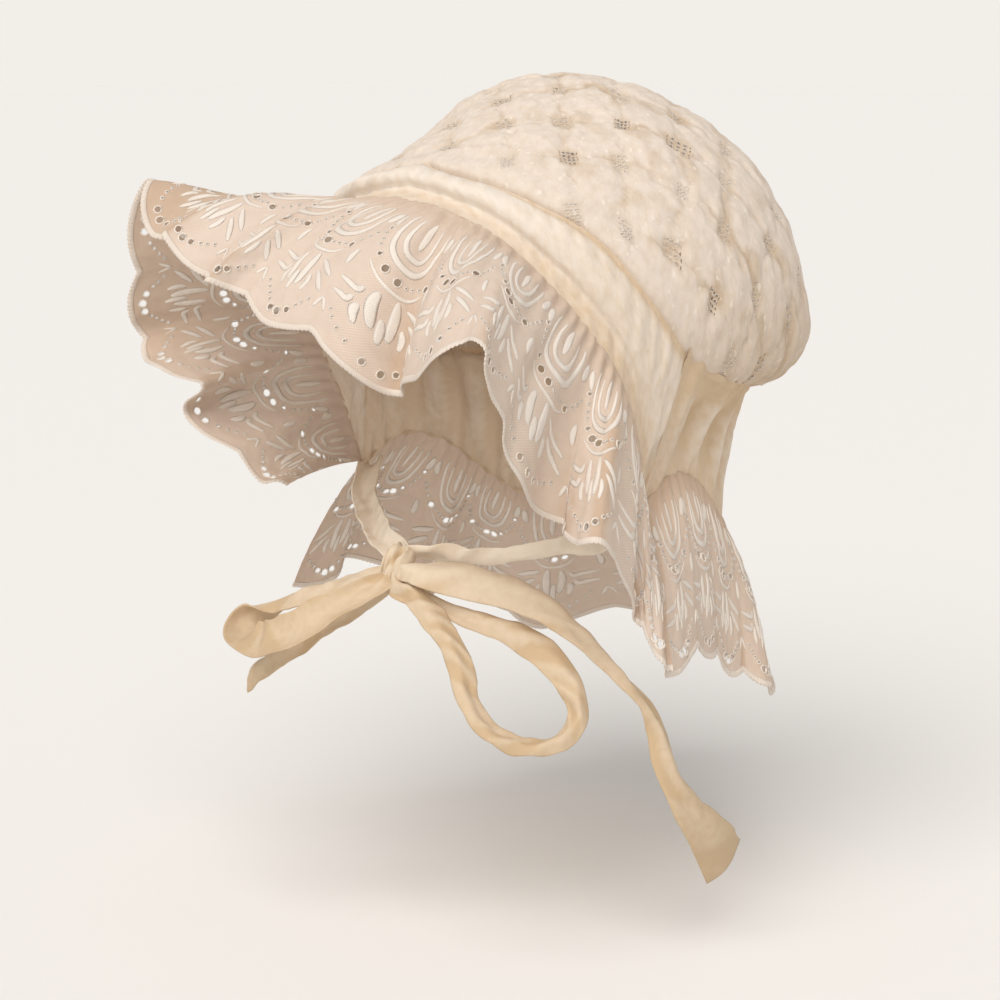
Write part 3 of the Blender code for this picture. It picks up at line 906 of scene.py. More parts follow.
@dataclass(frozen=True)
class CottonFinish(ClothFinish):
    """Woven cotton with soft crumples.

    pitch: The distance between threads, in metres.
    crumple: The crumples' size, in metres.
    depth: The crumples' depth, in metres.
    mottle: How unevenly it is yellowed.
    openwork: True for the crown, whose cell map has holes to be cut.
    clean: The noise below which it isn't yellowed.
    fleck: How far the threads' own flecks lighten it.
    thread: The threads' height, as a share of the crumples'.
    """

    pitch: float = 0.0006
    crumple: float = 0.009
    depth: float = 0.0008
    mottle: float = 1.6
    openwork: bool = False
    clean: float = 0.42
    fleck: float = 0.16
    thread: float = 0.10

    def material(self) -> Material:
        """The cotton's material: weave and crumples on its UV map, yellowed unevenly, with painted shade.

        Returns:
            The material.
        """
        material, tree, shader = self.start()
        place = tree.add("ShaderNodeUVMap", uv_map="cloth").outputs[0]
        weave = tree.add("ShaderNodeGroup", node_tree=bpy.data.node_groups["plain_weave"])
        folds = tree.add("ShaderNodeGroup", node_tree=bpy.data.node_groups["soft_crumples"])
        tree.link(place, weave.inputs["Place"])
        tree.link(place, folds.inputs["Place"])
        weave.inputs["Pitch"].default_value = self.pitch
        folds.inputs["Size"].default_value = self.crumple
        tone = tree.maths("SUBTRACT", folds.outputs["Tone"], self.clean)
        tone = tree.maths("MULTIPLY", tone, self.mottle, clamp=True)
        # The fold attribute is the piece's painted shade, added to the uneven yellowing.
        fold = tree.add("ShaderNodeAttribute", attribute_name="fold").outputs["Fac"]
        tone = tree.maths("ADD", tone, fold, clamp=True)
        colour = tree.mixed(tone, self.light, self.shade)
        fleck = tree.maths("MULTIPLY", weave.outputs["Fleck"], self.fleck)
        colour = tree.mixed(fleck, colour, self.light)
        if self.openwork:
            colour = self.pierced(tree, shader, colour)
        tree.link(colour, shader.inputs["Base Color"])
        height = tree.maths("MULTIPLY_ADD", weave.outputs["Height"], self.thread, folds.outputs["Height"])
        self.bump(tree, shader, height, self.depth)
        return material

    def pierced(self, tree: NodeTree, shader: Node, colour: object) -> Socket:
        """Cuts the openwork's holes by the cell map, and paints shade round the diamonds and in the holes.

        A diamond is the square of the cell map round each of its whole numbers, and its holes
        are round places of a finer lattice in that square.

        Args:
            tree: The material's tree.
            shader: Its Principled shader, whose Alpha is set.
            colour: The cloth's colour.

        Returns:
            The colour with the painted shade round and in the holes.
        """
        parts = tree.add("ShaderNodeSeparateXYZ")
        cell = tree.add("ShaderNodeUVMap", uv_map="cell").outputs[0]
        cloth = tree.add("ShaderNodeUVMap", uv_map="cloth").outputs[0]
        tree.link(cell, parts.inputs[0])
        offs, holes = [], []
        for socket, count in zip(parts.outputs, OPENWORK.counts):
            off = tree.maths("SUBTRACT", socket, tree.maths("ROUND", socket))
            offs.append(tree.maths("ABSOLUTE", off))
            step = tree.maths("DIVIDE", off, OPENWORK.step)
            shifted = tree.maths("ADD", step, 0.5 if count % 2 == 0 else 0.0)
            holes.append(tree.maths("SUBTRACT", shifted, tree.maths("ROUND", shifted)))
        inside = tree.maths("MAXIMUM", *offs)
        square = tree.maths("LESS_THAN", inside, OPENWORK.step * OPENWORK.square)
        both = tree.maths("ADD", *(tree.maths("POWER", hole, 2.0) for hole in holes))
        hole = tree.maths("MULTIPLY", square, tree.maths("LESS_THAN", both, OPENWORK.hole**2))
        spread = self.noise(tree, cloth, scale=32.0, detail=1.0)
        open_hole = tree.maths("MULTIPLY", hole, tree.maths("GREATER_THAN", spread, OPENWORK.stretched))
        tree.link(tree.maths("SUBTRACT", 1.0, open_hole), shader.inputs["Alpha"])
        wide = self.noise(tree, cell, scale=0.55)
        plain = tree.maths("MULTIPLY", tree.maths("SUBTRACT", wide, OPENWORK.faint), 5.0, clamp=True)
        # Painted shade round each diamond, fainter where the wide noise is low.
        near = tree.maths("MULTIPLY", tree.maths("SUBTRACT", OPENWORK.reach, inside), 7.0, clamp=True)
        near = tree.maths("MULTIPLY", near, tree.maths("MULTIPLY_ADD", plain, 0.45, 0.25))
        colour = tree.mixed(near, colour, self.shade)
        fine = self.noise(tree, cloth, scale=520.0)
        light = tree.maths("MULTIPLY", tree.maths("SUBTRACT", fine, 0.70), 10.0, clamp=True)
        colour = tree.mixed(tree.maths("MULTIPLY", light, 0.5), colour, OPENWORK.knots)
        # Painted shade in every hole, whether it is cut open or not.
        deep = tree.maths("MULTIPLY", hole, tree.maths("MULTIPLY_ADD", plain, 0.25, 0.05))
        return tree.mixed(deep, colour, OPENWORK.painted_hole_shade)

    @staticmethod
    def noise(
        tree: NodeTree, place: Socket, scale: float, detail: float = 0.0
    ) -> Socket:
        """A noise over a UV map.

        Args:
            tree: The material's tree.
            place: The UV map's output.
            scale: How fine it is, in waves for each unit of the map.
            detail: How many finer noises are added.

        Returns:
            Its output, from 0 to 1.
        """
        node = tree.add("ShaderNodeTexNoise", Scale=scale, Detail=detail)
        tree.link(place, node.inputs["Vector"])
        return node.outputs["Fac"]


@dataclass(frozen=True)
class LaceFinish(ClothFinish):
    """Sheer net ground.

    pitch: The width of the net's gaps, in metres.
    clearness: How far light passes straight through a gap.
    crumple: The crumples' size, in metres.
    depth: The crumples' depth, in metres.
    mottle: How unevenly it is yellowed.
    thread: The threads' height, as a share of the crumples'.
    """

    pitch: float = 0.0011
    clearness: float = 0.45
    crumple: float = 0.012
    depth: float = 0.0005
    mottle: float = 0.4
    thread: float = 0.06

    def material(self) -> Material:
        """The ground's material: a fine net on its UV map, with soft uneven tone and painted shade.

        Returns:
            The material.
        """
        material, tree, shader = self.start()
        place = tree.add("ShaderNodeUVMap", uv_map="cloth").outputs[0]
        net = tree.add("ShaderNodeGroup", node_tree=bpy.data.node_groups["fine_net"])
        folds = tree.add("ShaderNodeGroup", node_tree=bpy.data.node_groups["soft_crumples"])
        tree.link(place, net.inputs["Place"])
        tree.link(place, folds.inputs["Place"])
        net.inputs["Pitch"].default_value = self.pitch
        folds.inputs["Size"].default_value = self.crumple
        # The fold attribute is the piece's painted shade, added to the uneven yellowing.
        fold = tree.add("ShaderNodeAttribute", attribute_name="fold").outputs["Fac"]
        tone = tree.maths("MULTIPLY_ADD", folds.outputs["Tone"], self.mottle, fold, clamp=True)
        colour = tree.mixed(tone, self.light, self.shade)
        tree.link(colour, shader.inputs["Base Color"])
        gap = tree.maths("MULTIPLY", net.outputs["Gap"], self.clearness)
        tree.link(tree.maths("SUBTRACT", 1.0, gap), shader.inputs["Alpha"])
        height = tree.maths("MULTIPLY_ADD", net.outputs["Height"], self.thread, folds.outputs["Height"])
        self.bump(tree, shader, height, self.depth)
        return material


@dataclass(frozen=True)
class SatinFinish(ClothFinish):
    """Satin stitched thread.

    pitch: A thread's width, in metres.
    depth: How deep the threads are rounded, in metres.
    """

    pitch: float = 0.0005
    depth: float = 0.00010

    def material(self) -> Material:
        """The thread's material: stitches side by side along the shape's UV map.

        Returns:
            The material.
        """
        material, tree, shader = self.start()
        place = tree.add("ShaderNodeUVMap", uv_map="cloth").outputs[0]
        stitches = tree.add("ShaderNodeGroup", node_tree=bpy.data.node_groups["satin_stitches"])
        tree.link(place, stitches.inputs["Place"])
        stitches.inputs["Pitch"].default_value = self.pitch
        # Painted shade in the grooves between the threads, and the light colour on their rounded tops.
        colour = tree.mixed(stitches.outputs["Height"], self.shade, self.light)
        tree.link(colour, shader.inputs["Base Color"])
        self.bump(tree, shader, stitches.outputs["Height"], self.depth)
        return material


@dataclass
class Crown:
    """The puffed openwork crown.

    columns: Points round it.
    rows: Points from its top to its edge.
    repeat_across: The pattern's repeat from side to side.
    repeat_along: The pattern's repeat from front to back.
    puff: How far the puffs stand out.
    dip: How far the openwork diamonds lie in.
    plain_front: How much of the way is plain cloth at the front edge.
    flattening: How far the cloth over the right temple is drawn in.
    swell: How far the plain cloth at the front edge swells.
    tuck: How far the last of the cloth is drawn in under its seam.
    pull: How far the pattern is pulled about.
    ruck: The length over which the puffs' outlines waver.
    wrinkles: The wrinkles all over it.
    rim: The radius of a hole's stitched rim.
    rim_thread: The radius of the rim's thread.
    flat: The side of the cloth before it is sewn; not used.
    cloth_area: The area that is used of it; not used.
    """

    columns: int = 470
    rows: int = 176
    repeat_across: float = 0.026
    repeat_along: float = 0.025
    puff: float = 0.0017
    dip: float = 0.0006
    plain_front: float = 0.15
    flattening: float = 0.0036
    swell: float = 0.0011
    tuck: float = 0.0012
    pull: float = 0.0016
    ruck: float = 0.0072
    wrinkles: tuple[Wrinkles, ...] = (Wrinkles(0.0080, 0.00022, 3), Wrinkles(0.0034, 0.00006, 4))
    rim: float = 0.00058
    rim_thread: float = 0.00014
    flat: float = 0.21
    cloth_area: float = 0.036

    def cells(self, way: Numbers, turn: Numbers) -> tuple[Numbers, Numbers]:
        """The flat cloth's coordinates and the pattern's cell coordinates.

        The cloth is laid flat from the top with true area: the distance from the top is twice
        the radius times the sine of half the tilt. The cells are its two diagonals, pulled
        about a little, and are whole numbers at the diamonds.

        Args:
            way: The share of the way to the edge.
            turn: The turn from the front, in degrees.

        Returns:
            Flat coordinates in metres, and cell coordinates.
        """
        tilt = np.radians(crown_edge_tilt(turn) * way)
        reach = 2 * HEAD_RADIUS * np.sin(tilt / 2)
        heading = np.radians(turn)
        flat = np.stack((reach * np.sin(heading), -reach * np.cos(heading)), axis=-1)
        x = flat[..., 0] + self.pull * ripples(flat[..., 0], flat[..., 1], 0.030, 11)
        y = flat[..., 1] + self.pull * ripples(flat[..., 0], flat[..., 1], 0.030, 12)
        x, y = x / self.repeat_across, y / self.repeat_along
        return flat, np.stack((x + y, x - y), axis=-1)

    def roundness(self, flat: Numbers, cell: Numbers) -> Numbers:
        """The puffs' own shape: the product of two sines of the cell coordinates, whose
        outlines waver a little.

        Args:
            flat: Flat coordinates.
            cell: Cell coordinates.

        Returns:
            0 along the diamonds' lines and up to 1 in the puffs' middles.
        """
        p = cell[..., 0] + 0.11 * ripples(flat[..., 0], flat[..., 1], self.ruck, 6)
        q = cell[..., 1] + 0.11 * ripples(flat[..., 0], flat[..., 1], self.ruck, 7)
        return np.abs(np.sin(math.pi * p) * np.sin(math.pi * q))

    def relief(self, flat: Numbers, cell: Numbers, way: Numbers, turn: Numbers) -> Numbers:
        """How far the cloth stands out: a round puff in each square of four diamonds, with a
        broad top, less a dip at the diamonds, with fine wrinkles and gathers at the back edge.

        Args:
            flat: Flat coordinates.
            cell: Cell coordinates.
            way: The share of the way to the edge.
            turn: The turn from the front, in degrees.

        Returns:
            The height, in metres.
        """
        across, along = flat[..., 0], flat[..., 1]
        swell = self.roundness(flat, cell) ** 0.30
        off = np.abs(cell - np.round(cell)).max(axis=-1)
        dip = 1 - ramp(off, 0.10, 0.22)
        uneven = 0.85 + 0.55 * ripples(across, along, 0.030, 5)
        wrinkles = sum(part.lift(across, along) for part in self.wrinkles)
        plain = ramp(np.abs(turn), 70, 100)
        edge = self.plain_front * (1 - plain) + 0.02 * plain
        textured = 1 - ramp(way, 1 - edge - 0.05, 1 - edge + 0.02)
        seam = 1 - ramp(way, 0.965, 1.0)
        gathered = ramp(way, 0.78, 0.97) * ramp(np.abs(turn), 70, 110)
        gathers = np.sin(np.radians(turn) * 88 + 2.0 * ripples(across, along, 0.05, 8)) * 0.0006
        height = (self.puff * (swell - 0.62) * uneven - self.dip * dip) * textured
        front = 1 - ramp(np.abs(turn), 60, 85)
        height = height + self.swell * front * ramp(way, 0.84, 0.93) * (1 - ramp(way, 0.95, 1.0))
        temple, spread = -52.0, 34.0
        drawn = ramp(way, 0.25, 0.55) * (1 - ramp(way, 0.80, 1.0))
        drawn = drawn * np.exp(-(((turn - temple) / spread) ** 2))
        return (height + wrinkles) * seam + gathers * gathered - self.flattening * drawn

    def build(self, material: Material, thread: Material) -> None:
        """Makes the crown and the stitched rims of its openwork.

        Args:
            material: The cotton.
            thread: The rims' thread.
        """
        turns = np.linspace(-180, 180, self.columns, endpoint=False)
        ways = np.linspace(0, 1, self.rows + 1)[1:]
        turn, way = np.meshgrid(turns, ways, indexing="ij")
        base = crown_point(way, turn)
        flat, cell = self.cells(way, turn)
        points = base + outward(base) * self.relief(flat, cell, way, turn)[..., None]
        points = self.tucked(points, way)
        top = points[:, 0].mean(axis=0)
        count = self.columns * self.rows
        faces = grid_faces(self.columns, self.rows, closed=True).reshape(-1, 4).tolist()
        first = np.arange(self.columns) * self.rows
        fan = np.stack((first, np.full(self.columns, count), np.roll(first, -1)), axis=-1).tolist()
        place = np.vstack((points.reshape(-1, 3), top))
        maps = {
            "cloth": np.vstack((flat.reshape(-1, 2), (0.0, 0.0))),
            "cell": np.vstack((cell.reshape(-1, 2), cell[:, 0].mean(axis=0))),
        }
        # The crown's painted shade, kept in its fold attribute.
        creases = self.creases(flat, cell, way, turn)
        fold = np.concatenate((creases.ravel(), (creases[:, 0].mean(),)))
        piece = mesh_piece("crown_cloth", place, faces + fan, maps, fold)
        face_outward(piece)
        dress(piece, material)
        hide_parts("crown")
        self.rims(points, cell, way, thread)

    def creases(self, flat: Numbers, cell: Numbers, way: Numbers, turn: Numbers) -> Numbers:
        """The painted shade of the cloth: strongest low at the back, in some of the creases between the
        puffs, and in soft patches that grow towards the wearer's left.

        Args:
            flat: Flat coordinates.
            cell: Cell coordinates.
            way: The share of the way to the edge.
            turn: The turn from the front, in degrees.

        Returns:
            The shade, from 0 to 1.
        """
        low = 1 - ramp(self.roundness(flat, cell) ** 0.40, 0.30, 0.66)
        some = ramp(ripples(flat[..., 0], flat[..., 1], 0.020, 9), -0.5, 0.9)
        back = ramp(way, 0.62, 1.0) * ramp(np.abs(turn), 60, 120)
        textured = 1 - ramp(way, 0.80, 0.87) * (1 - ramp(np.abs(turn), 70, 100))
        patches = ramp(ripples(flat[..., 0], flat[..., 1], 0.017, 10), 0.1, 0.9)
        patches = patches * (0.35 + 0.65 * ramp(turn, 0, 80))
        return np.clip((0.6 * low * some + 0.45 * patches) * textured + 0.75 * back, 0, 1)

    def tucked(self, points: Numbers, way: Numbers) -> Numbers:
        """Draws the last of the cloth in under its seam."""
        return points - outward(points) * (ramp(way, 0.97, 1.0) * self.tuck)[..., None]

    def rims(self, points: Numbers, cell: Numbers, way: Numbers, thread: Material) -> None:
        """Makes a stitched rim round each hole: small rings that lie on the cloth.

        For each hole the nearest grid point is found from the cell coordinates, and the ring is
        shifted from there by the cloth's own slopes.

        Args:
            points: The crown's points.
            cell: Their cell coordinates.
            way: Their shares of the way to the edge.
            thread: The rims' thread.
        """
        grid = ClothGrid(points, closed=True)
        normals = grid.normals()
        normals *= np.sign((normals * outward(points)).sum(axis=-1, keepdims=True))
        wholes = np.round(cell)
        off = cell - wholes
        keys = (wholes[..., 0] + 500) * 1000 + wholes[..., 1] + 500
        last_way, farthest = 0.975, 0.05
        centres, facing = [], []
        for across, below in itertools.product(*OPENWORK.places()):
            want = np.array((across, below))
            gap = np.linalg.norm(off - want, axis=-1)
            gap[way >= last_way] = math.inf
            order = np.argsort(gap, axis=None)
            _, first = np.unique(keys.reshape(-1)[order], return_index=True)
            chosen = order[first]
            chosen = chosen[gap.reshape(-1)[chosen] < farthest]
            centres.append(self.shifted(grid, cell, wholes + want - cell, chosen))
            facing.append(normals.reshape(-1, 3)[chosen])
        middles = np.concatenate(centres)
        rings = Rings(middles, np.concatenate(facing), np.full(len(middles), self.rim))
        rings.build("crown_openwork_stitches", thread, Slot.PUFFED_COTTON, thickness=self.rim_thread, sides=3)

    @staticmethod
    def shifted(grid: ClothGrid, cell: Numbers, missing: Numbers, chosen: Numbers) -> Numbers:
        """The exact places of the holes near the chosen grid points: the step that is still
        missing in cell coordinates, solved for columns and rows by the cells' own slopes.

        Args:
            grid: The crown's points.
            cell: Their cell coordinates.
            missing: The steps from them to the hole, in cells.
            chosen: The numbers of the grid points nearest the holes.

        Returns:
            The holes' places.
        """
        least = 1e-7
        a, b = (slope.reshape(-1, 2)[chosen] for slope in ClothGrid(cell, closed=True).slopes())
        along, down = (slope.reshape(-1, 3)[chosen] for slope in grid.slopes())
        missing = missing.reshape(-1, 2)[chosen]
        whole = a[:, 0] * b[:, 1] - a[:, 1] * b[:, 0]
        whole = np.where(np.abs(whole) < least, least, whole)
        columns = np.clip((missing[:, 0] * b[:, 1] - missing[:, 1] * b[:, 0]) / whole, -1, 1)
        rows = np.clip((a[:, 0] * missing[:, 1] - a[:, 1] * missing[:, 0]) / whole, -1, 1)
        place = grid.points.reshape(-1, 3)[chosen]
        return place + along * columns[:, None] + down * rows[:, None]


def face_outward(piece: Piece) -> None:
    """Turns an open shell's faces so that they look away from the middle of the head.

    Args:
        piece: The shell.
    """
    mesh = piece.data
    count = len(mesh.polygons)
    normals = np.empty(count * 3)
    centres = np.empty(count * 3)
    mesh.polygons.foreach_get("normal", normals)
    mesh.polygons.foreach_get("center", centres)
    away = centres.reshape(-1, 3) - HEAD_MIDDLE
    if (normals.reshape(-1, 3) * away).sum() < 0:
        mesh.flip_normals()


@dataclass
class Rings:
    """Many small stitched rings.

    centres: Their middles.
    facing: The unit vectors that they look along.
    sizes: Their radii.
    """

    centres: Numbers
    facing: Numbers
    sizes: Numbers

    def build(
        self, name: str, material: Material, slot: Slot, thickness: float, sides: int
    ) -> Piece:
        """Makes all the rings as one piece: a ring is a small round carried round a circle.

        Args:
            name: The piece's name.
            material: Its material.
            slot: Not used.
            thickness: The stitches' radius.
            sides: The small round's sides.

        Returns:
            The piece.
        """
        segments = 8
        rough = np.where(np.abs(self.facing[:, 2:]) < 0.8, (0.0, 0.0, 1.0), (1.0, 0.0, 0.0))
        first = unit(np.cross(self.facing, rough))
        second = np.cross(self.facing, first)
        turns = np.arange(segments) * 2 * math.pi / segments
        small = np.arange(sides) * 2 * math.pi / sides + math.pi / 6
        spoke = first[:, None] * np.cos(turns)[None, :, None] + second[:, None] * np.sin(turns)[None, :, None]
        reach = self.sizes[:, None, None, None] + thickness * np.cos(small)[None, None, :, None]
        lift = thickness * np.sin(small)[None, None, :, None]
        points = self.centres[:, None, None] + spoke[:, :, None] * reach + self.facing[:, None, None] * lift
        block = points.reshape(len(self.centres), segments * sides, 3)
        numbers = np.arange(segments * sides).reshape(segments, sides)
        right = np.roll(numbers, -1, axis=0)
        corners = (numbers, right, np.roll(right, -1, axis=1), np.roll(numbers, -1, axis=1))
        one = np.stack(corners, axis=-1).reshape(-1, 4)
        starts = np.arange(len(self.centres)) * segments * sides
        faces = (one[None] + starts[:, None, None]).reshape(-1, 4).tolist()
        around = np.broadcast_to((turns * 0.0006)[None, :, None], (len(self.centres), segments, sides))
        beside = np.broadcast_to((small * thickness)[None, None, :], (len(self.centres), segments, sides))
        maps = {"cloth": np.stack((around, beside), axis=-1).reshape(-1, 2)}
        piece = mesh_piece(name, block.reshape(-1, 3), faces, maps)
        return dress(piece, material)


@dataclass
class PlainPiece:
    """A plain cloth piece between the crown's edge and an outer seam.

    name: The node that it stands for.
    sections: Its seams' table.
    columns: Cells along it.
    rows: Cells across it.
    flat: The cloth's length and width before it is sewn; not used.
    """

    name: str
    sections: tuple
    columns: int
    rows: int
    flat: tuple[float, float]

    def surface(self, ways: Numbers, shares: Numbers) -> tuple[Numbers, Numbers, Numbers]:
        """The ruled surface between the two seams, run on a little past each.

        Args:
            ways: From -1 at one end to 1 at the other, with 0 at the table's own far end.
            shares: From the crown's edge to the outer seam.

        Returns:
            The points, and their flat coordinates along the outer seam and down the piece.
        """
        edge, seam = self.edges(ways)
        depth = np.linalg.norm(seam - edge, axis=-1)
        points = edge[:, None] + (seam - edge)[:, None] * shares[None, :, None]
        steps = np.linalg.norm(np.diff(seam, axis=0), axis=-1)
        length = np.concatenate(((0.0,), np.cumsum(steps)))
        across = np.broadcast_to(length[:, None], points.shape[:2])
        return points, across, depth[:, None] * shares[None]

    def edges(self, ways: Numbers) -> tuple[Numbers, Numbers]:
        """The two seams; the band's middle is the forehead."""
        return sewn_edges(self.sections, np.abs(ways), np.where(ways < 0, -1.0, 1.0))

    def finish(
        self, points: Numbers, across: Numbers, down: Numbers, fold: Numbers, material: Material
    ) -> None:
        """Makes the piece from its points, with its flat coordinates as its UV map.

        Args:
            points: Its points.
            across: Their flat coordinates along it.
            down: Their flat coordinates down it.
            fold: Their painted shade, held between 0 and 1.
            material: Its material.
        """
        maps = {"cloth": np.stack((across, down), axis=-1).reshape(-1, 2)}
        faces = grid_faces(*points.shape[:2], closed=False).reshape(-1, 4).tolist()
        piece = mesh_piece(self.name + "_cloth", points.reshape(-1, 3), faces, maps, np.clip(fold, 0, 1))
        face_outward(piece)
        dress(piece, material)
        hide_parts(self.name)


@dataclass
class FrontBand(PlainPiece):
    """The plain band over the forehead and cheeks.

    roll: How far the roll along its crown side stands out.
    hollow: How far the hollow along its lace side lies in.
    wrinkles: The wrinkles all over it.
    gathers: The gathers at its seams.
    """

    roll: float = 0.0044
    hollow: float = 0.0008
    wrinkles: tuple[Wrinkles, ...] = (Wrinkles(0.011, 0.0005, 21, 0.6), Wrinkles(0.004, 0.00014, 22))
    gathers: Gathers = Gathers(0.0016, 0.00035, 2.5, 0.04, 0.2)

    def build(self, material: Material) -> None:
        """Makes the band: a round roll along the crown, the square root of a half sine, and a
        hollow towards the lace, with soft creases at its seams.

        Args:
            material: The cotton.
        """
        ways = np.linspace(-1, 1, self.columns + 1)
        shares = np.linspace(-0.06, 1.04, self.rows + 1)
        points, across, down = self.surface(ways, shares)
        inside = np.clip(shares, 0, 1)
        fullness = np.sqrt(np.abs(np.cos(ways * math.pi / 2)))
        edge = 0.58 + 0.10 * ramp(ways, 0.1, 0.9)
        over = np.clip(inside[None, :] / edge[:, None], 0, 1)
        under = np.clip((inside[None, :] - edge[:, None]) / (1 - edge[:, None]), 0, 1)
        puff = self.roll * np.sqrt(np.sin(math.pi * over)) - self.hollow * np.sin(math.pi * under)
        puff = puff * fullness[:, None]
        soft = sum(part.lift(across, down) for part in self.wrinkles)
        creases = self.gathers.lift(across, down, 23)
        creases = creases * (ramp(inside, 0.55, 0.95) + 0.6 * (1 - ramp(inside, 0.0, 0.25)))[None, :]
        calm = np.minimum(ramp(shares, -0.06, 0.08), 1 - ramp(shares, 0.93, 1.04))[None, :]
        lift = puff + (soft + creases) * calm
        # Painted shade: in the hollow towards the lace, along the seam under the crown's edge, and more
        # towards the wearer's left.
        fold = 0.45 * ramp(under, 0.0, 0.5) + 0.6 * (1 - ramp(over, 0.0, 0.12))
        fold = fold + 0.25 * ramp(ways, 0.3, 0.7)[:, None]
        points = points + outward(points) * lift[..., None]
        self.finish(points, across, down, fold, material)


@dataclass
class NeckCurtain(PlainPiece):
    """The plain curtain from the crown down to the neck.

    folds: How many soft folds it hangs in.
    fold: Their depth.
    draw: How far it is drawn in between its seams.
    lap: How far it is lifted over the crown's edge.
    wrinkles: The wrinkles between its seams.
    gathers: The gathers at its seams.
    """

    folds: int = 11
    fold: float = 0.0022
    draw: float = 0.0035
    lap: float = 0.0006
    wrinkles: tuple[Wrinkles, ...] = (Wrinkles(0.010, 0.0006, 33, 0.5), Wrinkles(0.004, 0.00014, 34))
    gathers: Gathers = Gathers(0.00125, 0.0006, 2.5, 0.03, 0.2)

    def edges(self, ways: Numbers) -> tuple[Numbers, Numbers]:
        """The two seams; the curtain's middle is the nape."""
        return sewn_edges(self.sections, 1 - np.abs(ways), np.where(ways < 0, 1.0, -1.0))

    def build(self, material: Material) -> None:
        """Makes the curtain: soft folds as cosines along it, deepest half way down, and small
        gathers at both seams that fade away from them.

        Args:
            material: The cotton.
        """
        ways = np.linspace(-1.006, 1.006, self.columns + 1)
        shares = np.linspace(-0.09, 1.03, self.rows + 1)
        points, across, down = self.surface(ways, shares)
        inside = np.clip(shares, 0, 1)
        hang = np.sin(math.pi * inside)[None, :]
        calm = np.clip((1 - np.abs(ways)) / 0.2, 0, 1)[:, None]
        bend = 0.5 * ripples(across, down * 0.3, 0.05, 31)
        fold = self.fold * np.cos(ways[:, None] * math.pi * self.folds + bend) * hang * calm
        gathers = self.gathers.lift(across, down, 32)
        ends = (1 - ramp(inside, 0.05, 0.45)) + ramp(inside, 0.72, 0.98)
        soft = sum(part.lift(across, down) for part in self.wrinkles)
        lift = fold - self.draw * hang * calm + gathers * ends[None, :] + soft * hang
        lift = lift + self.lap * (1 - ramp(shares, -0.03, 0.03))[None, :]
        points = points + outward(points) * lift[..., None]
        # Painted shade: deep all over, more in the hollows of the folds and near the crown's edge.
        shade = 0.78 - 0.45 * fold / self.fold + 0.35 * (1 - ramp(inside, 0.0, 0.3))[None, :]
        self.finish(points, across, down, shade, material)


@dataclass(frozen=True)
class Stroke:
    """A satin stitched shape of the lace: a stroke along a path in one scallop.

    path: Its points, in millimetres from the scallop's middle and from the seam.
    width: Its greatest width, in millimetres.
    """

    path: tuple[tuple[float, float], ...]
    width: float


# One scallop of the lace, in millimetres across from its middle and down from the seam
LACE_STROKES = (
    Stroke(((-8.6, 6.5), (-8.8, 10.0), (-7.8, 15.5), (-6.2, 19.6), (-3.4, 21.8), (0.0, 22.3),
            (3.4, 21.8), (6.2, 19.6), (7.8, 15.5), (8.8, 10.0), (8.6, 6.5)), 2.2),
    Stroke(((-4.8, 7.0), (-5.0, 11.0), (-4.4, 15.4), (-2.6, 18.0), (0.0, 18.6),
            (2.6, 18.0), (4.4, 15.4), (5.0, 11.0), (4.8, 7.0)), 2.0),
    Stroke(((0.0, 5.8), (-0.2, 9.0), (0.1, 12.0), (0.0, 15.4)), 2.8),
    Stroke(((-13.4, 8.5), (-13.0, 11.5), (-12.0, 14.0)), 3.4),
    Stroke(((13.4, 8.5), (13.0, 11.5), (12.0, 14.0)), 3.4),
    Stroke(((-8.4, 26.6), (-4.4, 28.9), (0.0, 29.4), (4.4, 28.9), (8.4, 26.6)), 1.3),
    Stroke(((-2.9, 31.5), (-3.3, 35.0), (-2.9, 38.5), (-2.3, 41.2)), 2.7),
    Stroke(((1.6, 30.4), (2.0, 34.0), (1.9, 38.0), (1.4, 41.8)), 3.0),
    Stroke(((-0.6, 37.0), (-0.4, 40.0), (-0.6, 43.8)), 2.1),
    Stroke(((-5.3, 38.0), (-5.7, 40.4), (-5.0, 43.2)), 2.1),
    Stroke(((4.5, 37.2), (5.0, 40.0), (4.4, 43.0)), 2.2),
    Stroke(((-5.6, 33.2), (-6.9, 35.2), (-10.0, 35.6), (-13.9, 35.9)), 1.9),
    Stroke(((-6.8, 37.2), (-7.9, 39.3), (-10.6, 39.8), (-13.7, 40.2)), 1.9),
    Stroke(((4.6, 31.6), (7.2, 33.3), (10.0, 35.2), (12.8, 37.3)), 1.9),
    Stroke(((6.0, 35.6), (8.2, 37.6), (10.4, 39.8), (12.6, 42.4)), 1.9),
    Stroke(((-15.0, 26.4), (-15.3, 29.4), (-15.0, 32.4)), 2.6),
    Stroke(((-17.0, 47.6), (-15.0, 44.6), (-13.0, 47.6)), 1.5),
)
